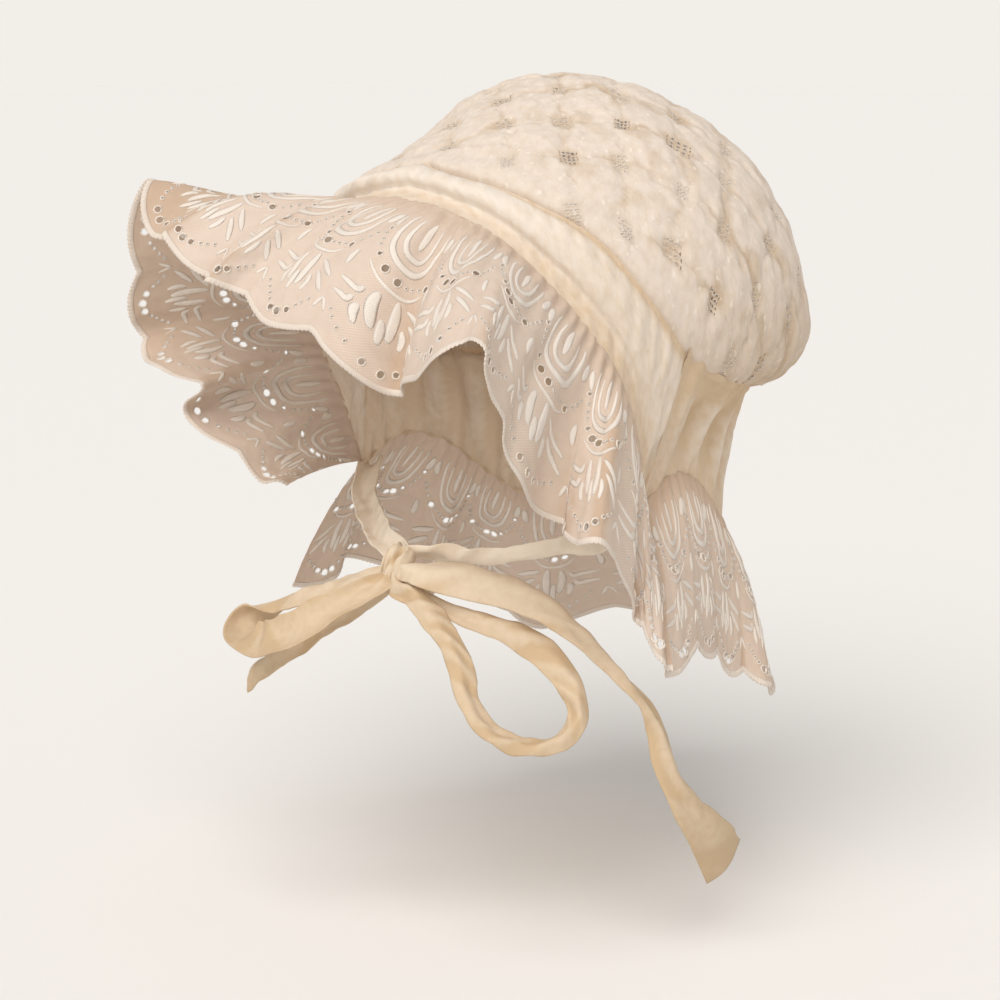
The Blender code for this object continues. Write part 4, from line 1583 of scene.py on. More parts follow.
# The eyelets of one scallop: places in millimetres as above, and radius
LACE_EYELETS = (
    # across, down, radius
    (-12.3, 15.3, 0.75),
    (-11.5, 17.9, 0.42),
    (-10.4, 19.8, 0.42),
    (-9.5, 21.4, 0.42),
    (-7.4, 23.6, 0.80),
    (-4.3, 25.6, 1.30),
    (-0.7, 26.2, 1.30),
    (1.9, 26.0, 0.42),
    (4.1, 25.7, 0.42),
    (6.2, 25.1, 0.42),
    (9.2, 24.9, 1.15),
    (11.7, 22.8, 0.42),
    (13.2, 21.0, 0.42),
    (14.4, 19.2, 0.42),
    (-10.8, 45.2, 0.42),
    (-9.0, 46.4, 0.42),
    (-7.1, 47.5, 0.48),
    (-5.2, 48.6, 0.55),
    (-2.2, 50.1, 1.15),
    (1.2, 50.4, 1.30),
    (4.5, 49.3, 1.05),
    (7.1, 47.6, 0.55),
    (8.8, 46.5, 0.42),
    (10.6, 45.2, 0.42),
)
# The least radius of an eyelet that is cut from a wider square, in millimetres
WIDE_EYELET = 0.6
# The painted shade along the frills, darkest towards the wearer's right: share of the length and tone
FACE_PAINTED_SHADE = (
    (0.0, 0.8), (0.05, 0.5), (0.12, 0.35), (0.18, 0.8), (0.33, 0.8), (0.42, 0.1), (0.7, 0.15), (1.0, 0.3)
)
NECK_PAINTED_SHADE = ((0.0, 0.3), (0.5, 0.45), (1.0, 0.7))
# Rows across the lace: where each stretch ends in millimetres, and how far apart its rows are
LACE_ROW_STEPS = (
    # end, step
    (14.0, 1.2),
    (28.0, 0.56),
    (44.0, 1.1),
    (52.6, 0.56),
    (55.0, 0.8),
)
# A scallop's width before the lace is gathered, in millimetres
NOMINAL_PITCH = 30.0


@dataclass
class LaceFrill:
    """A gathered frill of scalloped lace.

    name: The node that it stands for.
    seam: Gives points of the seam at shares of the lace's length.
    folds: The table of its folds, read at shares of its length.
    scallops: How many scallops it has.
    length: The lace's length before it is gathered.
    seed: Chooses its small gathers.
    flute: How deep its small waves are.
    painted_shade: Its painted shade, from 0 to 1, at shares of its length.
    cells: Grid cells along one scallop.
    gathers: The gathers below its seam.
    satin: How far the satin shapes stand out.
    rim_thread: The radius of the eyelets' thread.
    edge_width: Half the edge's width.
    edge_height: Half the edge's height.
    inset: How far the edge's middle lies in from the lace's end.
    stitch: The length of the edge's stitches.
    tooth: How far the edge's teeth stand out.
    """

    name: str
    seam: AlongSeam
    folds: AlongSeam
    scallops: int
    length: float
    seed: int
    flute: float
    painted_shade: tuple[tuple[float, float], ...]
    cells: int = 50
    gathers: Gathers = Gathers(0.00115, 0.0008, 3.0, 0.05, 0.1)
    satin: float = 0.00030
    rim_thread: float = 0.00024
    edge_width: float = 0.00095
    edge_height: float = 0.00030
    inset: float = 0.0008
    stitch: float = 0.0013
    tooth: float = 0.00016

    @staticmethod
    def rows() -> Numbers:
        """The rows across the lace, closer where the eyelets are.

        Returns:
            Shares of its width.
        """
        rows = [np.zeros(1)]
        start = 0.0
        for end, step in LACE_ROW_STEPS:
            count = round((end - start) / step)
            rows.append(start + (end - start) * np.arange(1, count + 1) / count)
            start = end
        return np.concatenate(rows) / (LACE_WIDTH * 1000)

    def surface(self) -> ClothGrid:
        """The ground's surface. From its seam the lace follows its folds, turning evenly from
        the first lean to the last, and small gathers run down from the seam and fade.

        Returns:
            The surface's grid, scallop cells by rows.
        """
        shares = np.linspace(0, 1, self.scallops * self.cells + 1)
        downs = self.rows()
        lean = self.folds(shares)
        reach = self.reach(shares)
        middles = (downs[1:] + downs[:-1]) / 2
        turned = lean[:, None, :2] + (lean[:, None, 2:] - lean[:, None, :2]) * middles[None, :, None]
        sizes = reach[:, None, None] * np.diff(downs)[None, :, None]
        steps = direction(turned[..., 0], turned[..., 1]) * sizes
        start = self.seam(shares)[:, None]
        grid = ClothGrid(np.concatenate((start, start + np.cumsum(steps, axis=1)), axis=1))
        across = shares[:, None] * self.length
        down = downs[None, :] * LACE_WIDTH
        fade = np.exp(-downs / 0.20) * ramp(downs, 0.0, 0.05)
        gathers = self.gathers.lift(across, down, self.seed) * fade[None]
        flutes = Wrinkles(0.018, self.flute, self.seed + 1, 0.22).lift(across, down)
        flutes = flutes * ramp(downs, 0.0, 0.45)[None]
        soft = Wrinkles(0.007, 0.00014, self.seed + 2).lift(across, down)
        lift = gathers + flutes + soft
        return ClothGrid(grid.points + grid.normals() * lift[..., None])

    def read(self, field: Numbers, shares: Numbers, downs: Numbers) -> Numbers:
        """Reads a field of the grid.

        Args:
            field: Values on the grid, columns by rows by parts.
            shares: Shares of the length.
            downs: Shares of the width.

        Returns:
            The values there.
        """
        rows = self.rows()
        places = np.interp(downs, rows, np.linspace(0, 1, len(rows)))
        return read_grid(field, shares, places)

    def reach(self, shares: Numbers) -> Numbers:
        """How far the lace reaches at each share of its length: rounded scallops."""
        return LACE_WIDTH + SCALLOP_DEPTH * (np.abs(np.sin(math.pi * shares * self.scallops)) - 1)

    def placed(self, across: Numbers, down: Numbers) -> tuple[Numbers, Numbers]:
        """Lays pattern places out in all the scallops.

        Args:
            across: From the scallop's middle, in millimetres.
            down: From the seam, in millimetres.

        Returns:
            Shares of the length and of the width, with the scallops as the first axis.
        """
        numbers = np.arange(self.scallops)
        shape = (self.scallops,) + (1,) * np.ndim(across)
        shares = (numbers.reshape(shape) + 0.5 + np.asarray(across) / NOMINAL_PITCH) / self.scallops
        downs = np.broadcast_to(np.asarray(down) / (LACE_WIDTH * 1000), shares.shape)
        return shares, downs

    def eyelets(self) -> tuple[Numbers, Numbers, Numbers]:
        """The eyelets: two hanging chains in each scallop, with the largest in the middle.

        Returns:
            Shares of the length, shares of the width and radii in metres.
        """
        across, down, radii = np.array(LACE_EYELETS).T
        shares, downs = self.placed(across, down)
        return shares.ravel(), downs.ravel(), np.tile(radii, self.scallops) / 1000

    def build(
        self, ground: Material, thread: Material, edge: Material
    ) -> None:
        """Makes the ground with its eyelets cut, the satin shapes, the rims and the edge.

        Args:
            ground: The net.
            thread: The shapes' and rims' thread.
            edge: The edge's thread.
        """
        grid = self.surface()
        normals = grid.normals()
        self.make_ground(grid, ground)
        self.make_strokes(grid, normals, thread)
        shares, downs, radii = self.eyelets()
        centres = self.read(grid.points, shares, downs)
        facing = unit(self.read(normals, shares, downs))
        rings = Rings(centres, facing, radii)
        name = self.name + "_eyelet_rims"
        rings.build(name, thread, Slot.CREAM_LACE, thickness=self.rim_thread, sides=4)
        self.make_edge(grid, normals, edge)

    def make_ground(self, grid: ClothGrid, material: Material) -> None:
        """Makes the ground. At each eyelet the grid points inside a square of two or four cells
        are taken out, and the points round the square move on to the eyelet's circle.

        Args:
            grid: The ground's surface.
            material: The net.
        """
        columns, rows = grid.points.shape[:2]
        places = self.rows()
        across, down = np.meshgrid(np.linspace(0, 1, columns), places, indexing="ij")
        shares, downs, radii = self.eyelets()
        middle = np.round(shares * (columns - 1)).astype(int)
        nearest = np.abs(downs[:, None] - places[None]).argmin(axis=1)
        along, below = grid.slopes()
        gone = np.zeros((columns, rows), dtype=bool)
        for reach, chosen in ((1, radii < WIDE_EYELET / 1000), (2, radii >= WIDE_EYELET / 1000)):
            i = np.clip(middle[chosen], reach, columns - 1 - reach)
            j = np.clip(nearest[chosen], reach, rows - 1 - reach)
            wide = np.linalg.norm(along[i, j], axis=-1) * (columns - 1)
            deep = np.linalg.norm(below[i, j], axis=-1) / np.gradient(places)[j]
            for di in range(-reach, reach + 1):
                for dj in range(-reach, reach + 1):
                    if max(abs(di), abs(dj)) < reach:
                        gone[i + di, j + dj] = True
                        continue
                    angle = math.atan2(dj, di)
                    across[i + di, j + dj] = shares[chosen] + radii[chosen] * math.cos(angle) / wide
                    down[i + di, j + dj] = downs[chosen] + radii[chosen] * math.sin(angle) / deep
        points = self.read(grid.points, across, down)
        faces = grid_faces(columns, rows, closed=False)
        cut = gone[:-1, :-1] | gone[1:, :-1] | gone[1:, 1:] | gone[:-1, 1:]
        maps = {"cloth": np.stack((across * self.length, down * LACE_WIDTH), axis=-1).reshape(-1, 2)}
        name = self.name + "_lace"
        # Painted shade: darker towards the wearer's right along the frill, near the seam, and where the lace
        # is sharply folded.
        shaded = np.interp(np.linspace(0, 1, columns), *np.array(self.painted_shade).T)[:, None]
        seam = np.exp(-places / 0.15)[None] * (0.30 + 0.5 * shaded)
        fold = shaded + seam + 0.7 * ramp(self.bend(grid.points), 0.10, 0.50)
        piece = mesh_piece(name, points.reshape(-1, 3), faces[~cut].tolist(), maps, np.clip(fold, 0, 1))
        dress(piece, material)
        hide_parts(self.name)

    def bend(self, points: Numbers) -> Numbers:
        """How sharply the lace is folded: how far each point lies from the middle between its
        neighbours a few cells away, as a share of their distance.

        Args:
            points: The grid's points.

        Returns:
            0 where it is flat, and more where it is folded.
        """
        reach = self.cells // 6
        padded = np.pad(points, ((reach, reach), (0, 0), (0, 0)), mode="edge")
        before, after = padded[: -2 * reach], padded[2 * reach :]
        apart = np.linalg.norm(after - before, axis=-1)
        return np.linalg.norm((before + after) / 2 - points, axis=-1) / np.maximum(apart, 1e-4)

    def make_strokes(self, grid: ClothGrid, normals: Numbers, material: Material) -> None:
        """Makes the satin shapes. Each is a flattened round carried along its path on the
        ground, full in the middle and drawn to a point at both ends.

        Args:
            grid: The ground's surface.
            normals: Its normals.
            material: The thread.
        """
        points, faces, places, count = [], [], [], 0
        sides = 6
        for stroke in LACE_STROKES:
            rings = 4 * len(stroke.path) - 3
            part = self.stroke_points(stroke, rings, sides, grid, normals)
            points.append(part[0].reshape(-1, 3))
            places.append(part[1].reshape(-1, 2))
            numbers = np.arange(self.scallops * rings * sides).reshape(self.scallops, rings, sides)
            faces += tube_faces(numbers + count)
            count += numbers.size
        maps = {"cloth": np.concatenate(places)}
        piece = mesh_piece(self.name + "_satin_shapes", np.concatenate(points), faces, maps)
        dress(piece, material)

    def stroke_points(
        self, stroke: Stroke, rings: int, sides: int, grid: ClothGrid, normals: Numbers
    ) -> tuple[Numbers, Numbers]:
        """The points of one shape in all scallops, and their UV places.

        Args:
            stroke: The shape.
            rings: Rings along it.
            sides: Points round a ring.
            grid: The ground.
            normals: The ground's normals.

        Returns:
            Points and UV places, scallops by rings by sides.
        """
        rows = np.array(stroke.path)
        at = np.linspace(0, 1, rings)
        path = smooth(at, np.linspace(0, 1, len(rows)), rows)
        ahead = unit(np.gradient(path, axis=0))
        beside = np.stack((-ahead[:, 1], ahead[:, 0]), axis=-1)
        full = np.clip(np.sin(math.pi * np.clip(at * 0.96 + 0.02, 0, 1)), 0, 1) ** 0.45
        angles = np.arange(sides) * 2 * math.pi / sides
        half = stroke.width / 2 * full
        flat = path[:, None] + beside[:, None] * (half[:, None] * np.cos(angles)[None])[..., None]
        shares, downs = self.placed(flat[..., 0], flat[..., 1])
        place = self.read(grid.points, shares, downs)
        lift = np.sin(angles)[None] * full[:, None] * self.satin
        place = place + unit(self.read(normals, shares, downs)) * lift[None, ..., None]
        length = at * np.linalg.norm(np.diff(path, axis=0), axis=-1).sum() / 1000
        around = half[:, None] * angles[None] / 1000
        flat_place = np.stack(np.broadcast_arrays(length[:, None], around), axis=-1)
        return place, np.broadcast_to(flat_place, (*place.shape[:3], 2))

    def make_edge(self, grid: ClothGrid, normals: Numbers, material: Material) -> None:
        """Makes the buttonholed edge: a flattened round carried along the scallops, whose outer
        side is cut into small teeth by its stitches.

        Args:
            grid: The ground's surface.
            normals: Its normals.
            material: The thread.
        """
        columns = (grid.points.shape[0] - 1) * 2 + 1
        shares = np.linspace(0, 1, columns)
        ones = np.ones(columns)
        path = self.read(grid.points, shares, ones)
        inner = self.read(grid.points, shares, ones * (1 - 2.4 / (LACE_WIDTH * 1000)))
        outer = unit(path - inner)
        up = unit(self.read(normals, shares, ones))
        sides = 8
        angles = np.arange(sides) * 2 * math.pi / sides
        steps = np.concatenate(((0.0,), np.cumsum(np.linalg.norm(np.diff(path, axis=0), axis=-1))))
        stitch = np.sin(2 * math.pi * steps / self.stitch)
        outside = np.cos(angles) > 0.3
        wide = (self.edge_width * np.cos(angles))[None] + (self.tooth * stitch)[:, None] * outside[None]
        high = (self.edge_height + self.tooth / 4 * stitch)[:, None] * np.sin(angles)[None]
        points = path[:, None] + outer[:, None] * (wide - self.inset)[..., None]
        points = points + up[:, None] * high[..., None]
        faces = tube_faces(np.arange(columns * sides).reshape(1, columns, sides))
        places = np.stack(np.broadcast_arrays(steps[:, None], angles[None] * 0.0006), axis=-1)
        maps = {"cloth": places.reshape(-1, 2)}
        piece = mesh_piece(self.name + "_scalloped_edge", points.reshape(-1, 3), faces, maps)
        dress(piece, material)


def face_seam(shares: Numbers) -> Numbers:
    """The seam of the face frill, from the right corner over the forehead to the left."""
    ways = shares * 2 - 1
    return sewn_edges(BAND_SECTIONS, np.abs(ways), np.where(ways < 0, -1.0, 1.0))[1]


def neck_seam(shares: Numbers) -> Numbers:
    """The seam of the neck frill, from the left corner round the nape to the right."""
    ways = (shares * 2 - 1) * 0.985
    return sewn_edges(CURTAIN_SECTIONS, 1 - np.abs(ways), np.where(ways < 0, 1.0, -1.0))[1]


def face_folds(shares: Numbers) -> Numbers:
    """The face frill's folds at shares of its length."""
    return smooth(shares * 2 - 1, *columns_of(FACE_FRILL_FOLDS))


def neck_folds(shares: Numbers) -> Numbers:
    """The neck frill's folds at shares of its length."""
    return smooth(shares, *columns_of(NECK_FRILL_FOLDS))


KNOT_AWAY = direction(np.array(KNOT_TURN), np.array(KNOT_RISE))
KNOT_MIDDLE = CHEST_MIDDLE + KNOT_AWAY * (CHEST_RADIUS + KNOT_STAND_OFF)


@dataclass
class ClothTie:
    """A soft creased tie.

    name: The node that it stands for.
    centre: The tie's middle line, one point a ring.
    away: The unit vectors that its face looks along.
    widths: Its width at each ring.
    rolls: Its roll at each ring, in degrees.
    seed: Chooses its creases.
    painted_shade: Its painted shade at its start, middle and end, from 0 to 1.
    fullness: How much wider it is drawn than its table at its start, middle and end.
    open_ends: 0 where both ends are drawn together, 1 where the last is hemmed flat.
    columns: Points across it.
    pleat: Half the broad pleat's depth.
    facet: How far the facets stand out.
    crease: How deep the small creases are.
    curl: How far its long edges curl back.
    thickness: The cloth's thickness.
    """

    name: str
    centre: Numbers
    away: Numbers
    widths: Numbers
    rolls: Numbers
    seed: int
    painted_shade: Triple
    fullness: Triple = (1.1, 1.1, 1.1)
    open_ends: float = 0.0
    columns: int = 27
    pleat: float = 0.00058
    facet: float = 0.0009
    crease: float = 0.00012
    curl: float = 0.0016
    thickness: float = 0.0005

    @classmethod
    def in_air(
        cls, name: str, rows: tuple, seed: int, painted_shade: Triple, twist: float
    ) -> ClothTie:
        """A tie between a corner and the knot, from its table, drawn on into both.

        Args:
            name: The node that it stands for.
            rows: Its table.
            seed: Chooses its creases.
            painted_shade: Its painted shade.
            twist: How far it is turned about its length from the table's roll, in degrees.

        Returns:
            The tie.
        """
        knot = (KNOT_MIDDLE - HEAD_MIDDLE) / HEAD_RADIUS * (1, -1, 1)
        corner = np.array(rows[0]) + (np.array(rows[0]) - np.array(rows[1])) * (0.2, 0.2, 0.2, 0.0)
        values = cls.resampled((tuple(corner), *rows, (*(knot * 0.985), rows[-1][3])))
        points = HEAD_MIDDLE + values[:, :3] * HEAD_RADIUS * (1, -1, 1)
        widths = np.full(len(points), TIE_WIDTH)
        return cls(name, points, outward(points), widths, values[:, 3] + twist, seed, painted_shade)

    @classmethod
    def on_chest(
        cls, name: str, rows: tuple, seed: int, painted_shade: Triple,
        fullness: Triple = (1.1, 1.1, 1.1), open_ends: float = 0.0
    ) -> ClothTie:
        """A tie that lies against the round of the chest, from its table, drawn on into the knot.

        Args:
            name: The node that it stands for.
            rows: Its table.
            seed: Chooses its creases.
            painted_shade: Its painted shade.
            fullness: How much wider it is drawn than its table.
            open_ends: 0 for a loop, 1 for a tail.

        Returns:
            The tie.
        """
        knot = (KNOT_TURN, KNOT_RISE, KNOT_STAND_OFF / TIE_WIDTH, 0.45)
        last = () if open_ends else ((*knot, rows[-1][4]),)
        values = cls.resampled(((*knot, rows[0][4]), *rows, *last))
        away = direction(values[:, 0], values[:, 1])
        points = CHEST_MIDDLE + away * (CHEST_RADIUS + values[:, 2] * TIE_WIDTH)[:, None]
        widths = values[:, 3] * TIE_WIDTH
        return cls(name, points, away, widths, values[:, 4], seed, painted_shade, fullness, open_ends)

    @staticmethod
    def resampled(rows: tuple) -> Numbers:
        """A route's table as a smooth curve, with ten rings to each row."""
        values = np.array(rows, dtype=float)
        return smooth(np.linspace(0, 1, len(values) * 10), np.linspace(0, 1, len(values)), values)

    def build(self, material: Material, flat_width: float) -> None:
        """Makes the tie: one broad pleat, a cosine across it whose crest wanders along it, and
        slanting facets between sharp creases. The pleat deepens where the tie is drawn in.

        Args:
            material: The tie cloth.
            flat_width: The strip's width before it is folded.
        """
        ahead = unit(np.gradient(self.centre, axis=0))
        across = unit(np.cross(ahead, self.away))
        face = np.cross(across, ahead)
        roll = np.radians(self.rolls)[:, None]
        flat = across * np.cos(roll) + face * np.sin(roll)
        raised = face * np.cos(roll) - across * np.sin(roll)
        length = np.concatenate(((0.0,), np.cumsum(np.linalg.norm(np.diff(self.centre, axis=0), axis=-1))))
        share = length / length[-1]
        x = np.linspace(-1, 1, self.columns)[None, :]
        along = length[:, None]
        wander = ripples(along, along * 0, 0.05, self.seed)
        last = 1 - ramp(share, 0.88, 1.0) * (1 - self.open_ends)
        drawn = 1 - 0.5 * np.minimum(ramp(share, 0.0, 0.12), last)
        tight = np.clip(TIE_WIDTH * 1.5 / self.widths, 0.6, 2.0)[:, None] * drawn[:, None]
        pleats = self.pleat * np.cos(math.pi * (1.2 * x + 0.9 * wander))
        slant = ripples(along + x * 0.005, x * 0.0035 + along * 0.2, 0.018, self.seed + 1)
        facets = self.facet - self.facet * 2 * np.abs(slant)
        creases = ripples(x * 0.004 + along * 0.15, along, 0.006, self.seed + 3) * self.crease
        curl = -self.curl * np.abs(x) ** 2.6
        lift = pleats * tight + facets * drawn[:, None] + creases + curl
        half = self.widths / 2 * np.interp(share, (0.0, 0.5, 1.0), self.fullness)
        half = half[:, None] * (1 + 0.09 * ripples(along, x * 0.01, 0.014, self.seed + 2))
        # Painted shade along the tie, more in the hollows between its facets and towards its long edges.
        tone = np.interp(share, (0.0, 0.5, 1.0), self.painted_shade)[:, None]
        fold = np.clip(tone + 0.35 * ramp(-facets, -0.0003, 0.0008) - 0.15 * np.cos(math.pi * x / 2), 0, 1)
        points = self.centre[:, None] + flat[:, None] * (x * half)[..., None]
        points = points + raised[:, None] * lift[..., None]
        LOG.info("%s area share: %.2f", self.name, ClothGrid(points).area() / (flat_width * length[-1]))
        faces = grid_faces(*points.shape[:2], closed=False).reshape(-1, 4).tolist()
        places = np.stack(np.broadcast_arrays(x * flat_width / 2, along), axis=-1)
        maps = {"cloth": places.reshape(-1, 2)}
        piece = mesh_piece(self.name + "_cloth", points.reshape(-1, 3), faces, maps, fold)
        wall(piece, self.thickness)
        dress(piece, material)
        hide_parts(self.name)


@dataclass
class Knot:
    """The knot of the bow.

    turn: Which way it looks, as a turn from the front in degrees.
    half: Its half sizes along the ties, forward and up.
    cloth: Half the cloth's length along it and the cloth's radius round it, for its UV map.
    columns: Points round it.
    rows: Points along it.
    """

    turn: float = KNOT_TURN
    half: Triple = (0.0050, 0.0043, 0.0066)
    cloth: tuple[float, float] = (0.007, 0.006)
    columns: int = 96
    rows: int = 72

    def build(self, material: Material) -> None:
        """Makes the knot: a round drawn in at both sides, with three creased turns of cloth
        wound over it, as deep waves along its length that lean as they go round.

        Args:
            material: The tie cloth.
        """
        columns, rows = self.columns, self.rows
        around = np.linspace(-math.pi, math.pi, columns, endpoint=False)[:, None]
        along = np.linspace(-1, 1, rows)[None, :]
        body = np.sqrt(np.clip(1 - along**2, 0.0, 1)) ** 0.75
        lean = along * 1.25 + 0.30 * np.sin(around + 0.6)
        turns = 0.30 * np.abs(np.sin(math.pi * lean)) ** 0.6 - 0.20
        fine = 0.05 * np.cos(math.pi * 5 * lean + 1.5 * np.sin(2 * around))
        pinch = -0.30 * np.exp(-(((around - 0.5 + 1.2 * along) / 0.30) ** 2))
        pinch = pinch * np.exp(-((along / 0.6) ** 2))
        radius = body * (1 + turns + fine + pinch)
        side = np.cross(direction(np.array(self.turn), np.array(0.0)), (0, 0, 1))
        ahead = direction(np.array(self.turn), np.array(10.0))
        up = np.cross(side, ahead)
        out, deep, high = self.half
        points = KNOT_MIDDLE + side * (along * np.ones_like(radius) * out)[..., None]
        points = points + ahead * (radius * np.cos(around) * deep)[..., None]
        points = points + up * (radius * np.sin(around) * high)[..., None]
        count = columns * rows
        faces = grid_faces(columns, rows, closed=True).reshape(-1, 4).tolist()
        first = np.arange(columns) * rows
        for row, order in ((0, 1), (rows - 1, -1)):
            ring = first + row
            tip = np.full(columns, count + (row > 0))
            fan = np.stack((ring, tip, np.roll(ring, -1))[::order], axis=-1)
            faces += fan.tolist()
        ends = np.stack((points[:, 0].mean(axis=0), points[:, -1].mean(axis=0)))
        reach, wrap = self.cloth
        place = np.stack(np.broadcast_arrays(along * reach, around * wrap), axis=-1).reshape(-1, 2)
        maps = {"cloth": np.vstack((place, ((-reach, 0.0), (reach, 0.0))))}
        # Painted shade, deepest in the creases between the turns of cloth and at the drawn-in ends.
        shade = np.clip(0.45 + 1.1 * ramp(body - radius, -0.02, 0.35), 0, 1)
        fold = np.concatenate((shade.ravel(), (0.9, 0.9)))
        piece = mesh_piece("bow_knot_cloth", np.vstack((points.reshape(-1, 3), ends)), faces, maps, fold)
        dress(piece, material)
        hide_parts("bow_knot")


@dataclass
class Studio:
    """The floor, the light and the camera.

    azimuth: The camera's turn round the bonnet, in degrees from straight in front.
    elevation: Its height above level, in degrees.
    distance: How far it stands from the plane of its aim.
    frame_width: The width of what it sees at that distance.
    aim: Where it looks.
    floor_height: The floor's height.
    horizon: The light of the room level with the bonnet.
    sky: The light of the room above it.
    floor_half: Half the floor's side.
    """

    azimuth: float = 43.0
    elevation: float = 11.0
    distance: float = 0.70
    frame_width: float = 0.30
    aim: Triple = (-0.0038, -0.0192, -0.1249)
    floor_height: float = -0.244
    horizon: Triple = (0.89, 0.857, 0.81)
    sky: Triple = (0.42, 0.41, 0.40)
    floor_half: float = 12.0

    def back(self) -> Numbers:
        """The unit vector from the aim to the camera."""
        return direction(np.array(self.azimuth), np.array(self.elevation))

    def build(self) -> None:
        """Makes the floor, the light and the camera."""
        self.make_floor()
        self.make_camera()
        warm = (1.0, 0.965, 0.925)
        self.make_light("key_light", turn=22.0, rise=50.0, spread=50.0, power=2.35, colour=warm)
        world = bpy.data.worlds.new("studio")
        world.use_nodes = True
        tree = NodeTree(world.node_tree)
        parts = tree.add("ShaderNodeSeparateXYZ")
        tree.link(tree.add("ShaderNodeTexCoord").outputs["Generated"], parts.inputs[0])
        height = tree.maths("ABSOLUTE", parts.outputs[2])
        share = tree.maths("MULTIPLY", tree.maths("SUBTRACT", height, 0.06), 4.0, clamp=True)
        colour = tree.mixed(share, self.horizon, self.sky)
        tree.link(colour, world.node_tree.nodes["Background"].inputs["Color"])
        bpy.context.scene.world = world
        bpy.context.scene.view_settings.view_transform = "Standard"

    def make_floor(self) -> None:
        """Makes the plain pale floor."""
        half = self.floor_half
        corners = [(x * half, y * half, self.floor_height) for x, y in ((-1, -1), (1, -1), (1, 1), (-1, 1))]
        mesh = bpy.data.meshes.new("floor")
        mesh.from_pydata(corners, [], [(0, 1, 2, 3)])
        floor = bpy.data.objects.new("floor", mesh)
        bpy.context.scene.collection.objects.link(floor)
        material = bpy.data.materials.new("pale_floor")
        material.use_nodes = True
        shader = material.node_tree.nodes["Principled BSDF"]
        shader.inputs["Base Color"].default_value = (0.90, 0.89, 0.875, 1.0)
        shader.inputs["Roughness"].default_value = 0.9
        mesh.materials.append(material)

    def make_camera(self) -> None:
        """Makes the camera: its lens is the sensor's width times distance over frame width."""
        data = bpy.data.cameras.new("camera")
        data.sensor_width = 36.0
        data.lens = data.sensor_width * self.distance / self.frame_width
        data.clip_start = 0.01
        camera = bpy.data.objects.new("camera", data)
        self.place(camera, np.array(self.aim), self.back(), self.distance)
        bpy.context.scene.collection.objects.link(camera)
        bpy.context.scene.camera = camera

    def make_light(
        self, name: str, turn: float, rise: float, spread: float, power: float,
        colour: Triple
    ) -> None:
        """Makes an even soft light.

        Args:
            name: Its name.
            turn: Where it comes from, from straight ahead towards the left, in degrees.
            rise: And from level, in degrees.
            spread: The angle over which it comes, in degrees.
            power: Its strength.
            colour: Its colour, linear.
        """
        data = bpy.data.lights.new(name, "SUN")
        data.angle = math.radians(spread)
        data.energy = power
        data.color = colour
        light = bpy.data.objects.new(name, data)
        self.place(light, HEAD_MIDDLE, direction(np.array(turn), np.array(rise)), 1.0)
        bpy.context.scene.collection.objects.link(light)

    @staticmethod
    def place(thing: Piece, aim: Numbers, back: Numbers, away: float) -> None:
        """Stands a camera or light away from its aim and turns it to look there.

        Args:
            thing: The camera or light.
            aim: Where it looks.
            back: The unit vector from the aim to it.
            away: How far away it stands.
        """
        right = unit(np.cross((0.0, 0.0, 1.0), back))
        up = np.cross(back, right)
        matrix = np.eye(4)
        matrix[:3, 0], matrix[:3, 1], matrix[:3, 2] = right, up, back
        matrix[:3, 3] = aim + back * away
        thing.matrix_world = Matrix(matrix.tolist())


# Each finish's second colour takes its painted shade, and for the cottons and the lace also their uneven
# yellowing.
PUFFED_COTTON = CottonFinish("puffed_openwork_cotton", (0.81, 0.715, 0.625), (0.59, 0.455, 0.32),
                             0.85, 0.12, 0.1, crumple=0.010, depth=0.0006, mottle=1.2, openwork=True)
PLAIN_COTTON = CottonFinish("plain_cotton", (0.87, 0.79, 0.70), (0.65, 0.485, 0.31), 0.8, 0.12, 0.1,
                            crumple=0.012, depth=0.0006, mottle=1.2)
TIE_CLOTH = CottonFinish("creased_tie_cloth", (0.93, 0.825, 0.685), (0.60, 0.43, 0.25), 0.7, 0.10, 0.1,
                         pitch=0.0005, crumple=0.010, depth=0.0003, mottle=0.5)
LACE_GROUND = LaceFinish("sheer_lace_ground", (0.79, 0.68, 0.595), (0.58, 0.43, 0.315), 0.75, 0.05, 0.05,
                         pitch=0.0006, clearness=0.14)
SATIN_THREAD = SatinFinish("satin_lace_thread", (0.94, 0.865, 0.785), (0.88, 0.795, 0.705), 0.5, 0.10, 0.1)
EDGE_THREAD = SatinFinish("buttonhole_lace_thread", (0.87, 0.775, 0.685), (0.78, 0.67, 0.57), 0.5, 0.10, 0.1,
                          pitch=0.0006)


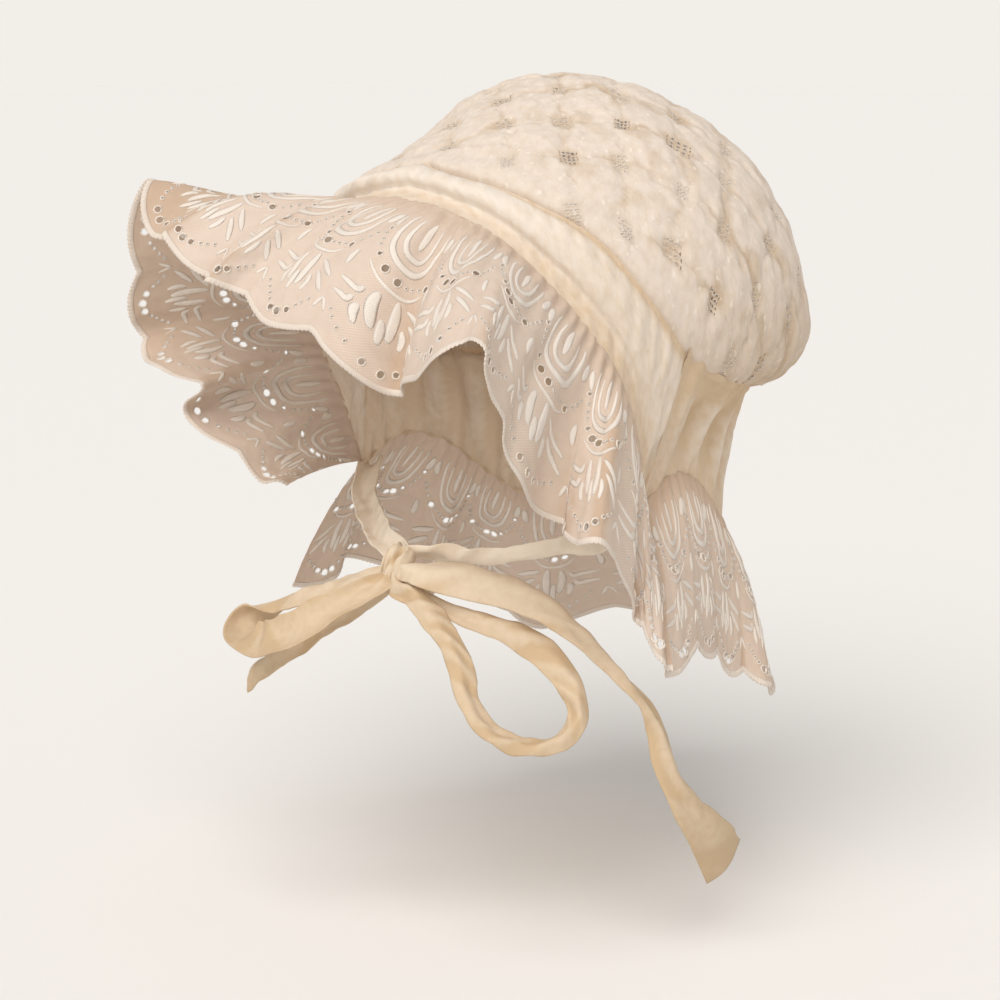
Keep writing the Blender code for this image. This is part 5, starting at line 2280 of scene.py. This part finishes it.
def main() -> None:
    """Builds each piece in order, then the studio."""
    logging.basicConfig(level=logging.INFO, format="%(message)s")
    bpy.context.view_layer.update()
    for make in (weave_group, crumple_group, net_group, stitch_group):
        make()
    puffed = PUFFED_COTTON.material()
    plain = PLAIN_COTTON.material()
    tie_cloth = TIE_CLOTH.material()
    ground = LACE_GROUND.material()
    satin = SATIN_THREAD.material()
    edge = EDGE_THREAD.material()
    Crown().build(puffed, satin)
    FrontBand("front_band", BAND_SECTIONS, 300, 30, flat=(0.30, 0.022)).build(plain)
    NeckCurtain("neck_curtain", CURTAIN_SECTIONS, 420, 48, flat=(0.30, 0.034)).build(plain)
    LaceFrill("face_frill", face_seam, face_folds, FACE_SCALLOPS, 0.44, 51, 0.0012,
              FACE_PAINTED_SHADE).build(ground, satin, edge)
    LaceFrill("neck_frill", neck_seam, neck_folds, NECK_SCALLOPS, 0.34, 61, 0.0007,
              NECK_PAINTED_SHADE).build(ground, satin, edge)
    strap = ClothTie.in_air("strap_right", STRAP_RIGHT_ROUTE, 71, (0.2, 0.0, 0.0), twist=-65.0)
    strap.build(tie_cloth, NARROW_STRIP)
    strap = ClothTie.in_air("strap_left", STRAP_LEFT_ROUTE, 74, (0.1, 0.0, 0.1), twist=0.0)
    strap.build(tie_cloth, NARROW_STRIP)
    Knot().build(tie_cloth)
    loop = ClothTie.on_chest("loop_right", LOOP_RIGHT_ROUTE, 77, (0.5, 0.9, 0.8), (1.3, 0.95, 1.5))
    loop.build(tie_cloth, WIDE_STRIP)
    loop = ClothTie.on_chest("loop_left", LOOP_LEFT_ROUTE, 80, (0.75, 0.85, 0.7))
    loop.build(tie_cloth, NARROW_STRIP)
    tail = ClothTie.on_chest("tail_left", TAIL_LEFT_ROUTE, 83, (0.55, 0.75, 1.0), open_ends=1.0)
    tail.build(tie_cloth, WIDE_STRIP)
    full = (1.4, 1.4, 1.4)
    tail = ClothTie.on_chest("tail_right", TAIL_RIGHT_ROUTE, 86, (0.6, 0.8, 1.0), full, open_ends=1.0)
    tail.build(tie_cloth, NARROW_STRIP)
    Studio().build()


if __name__ == "__main__":
    main()
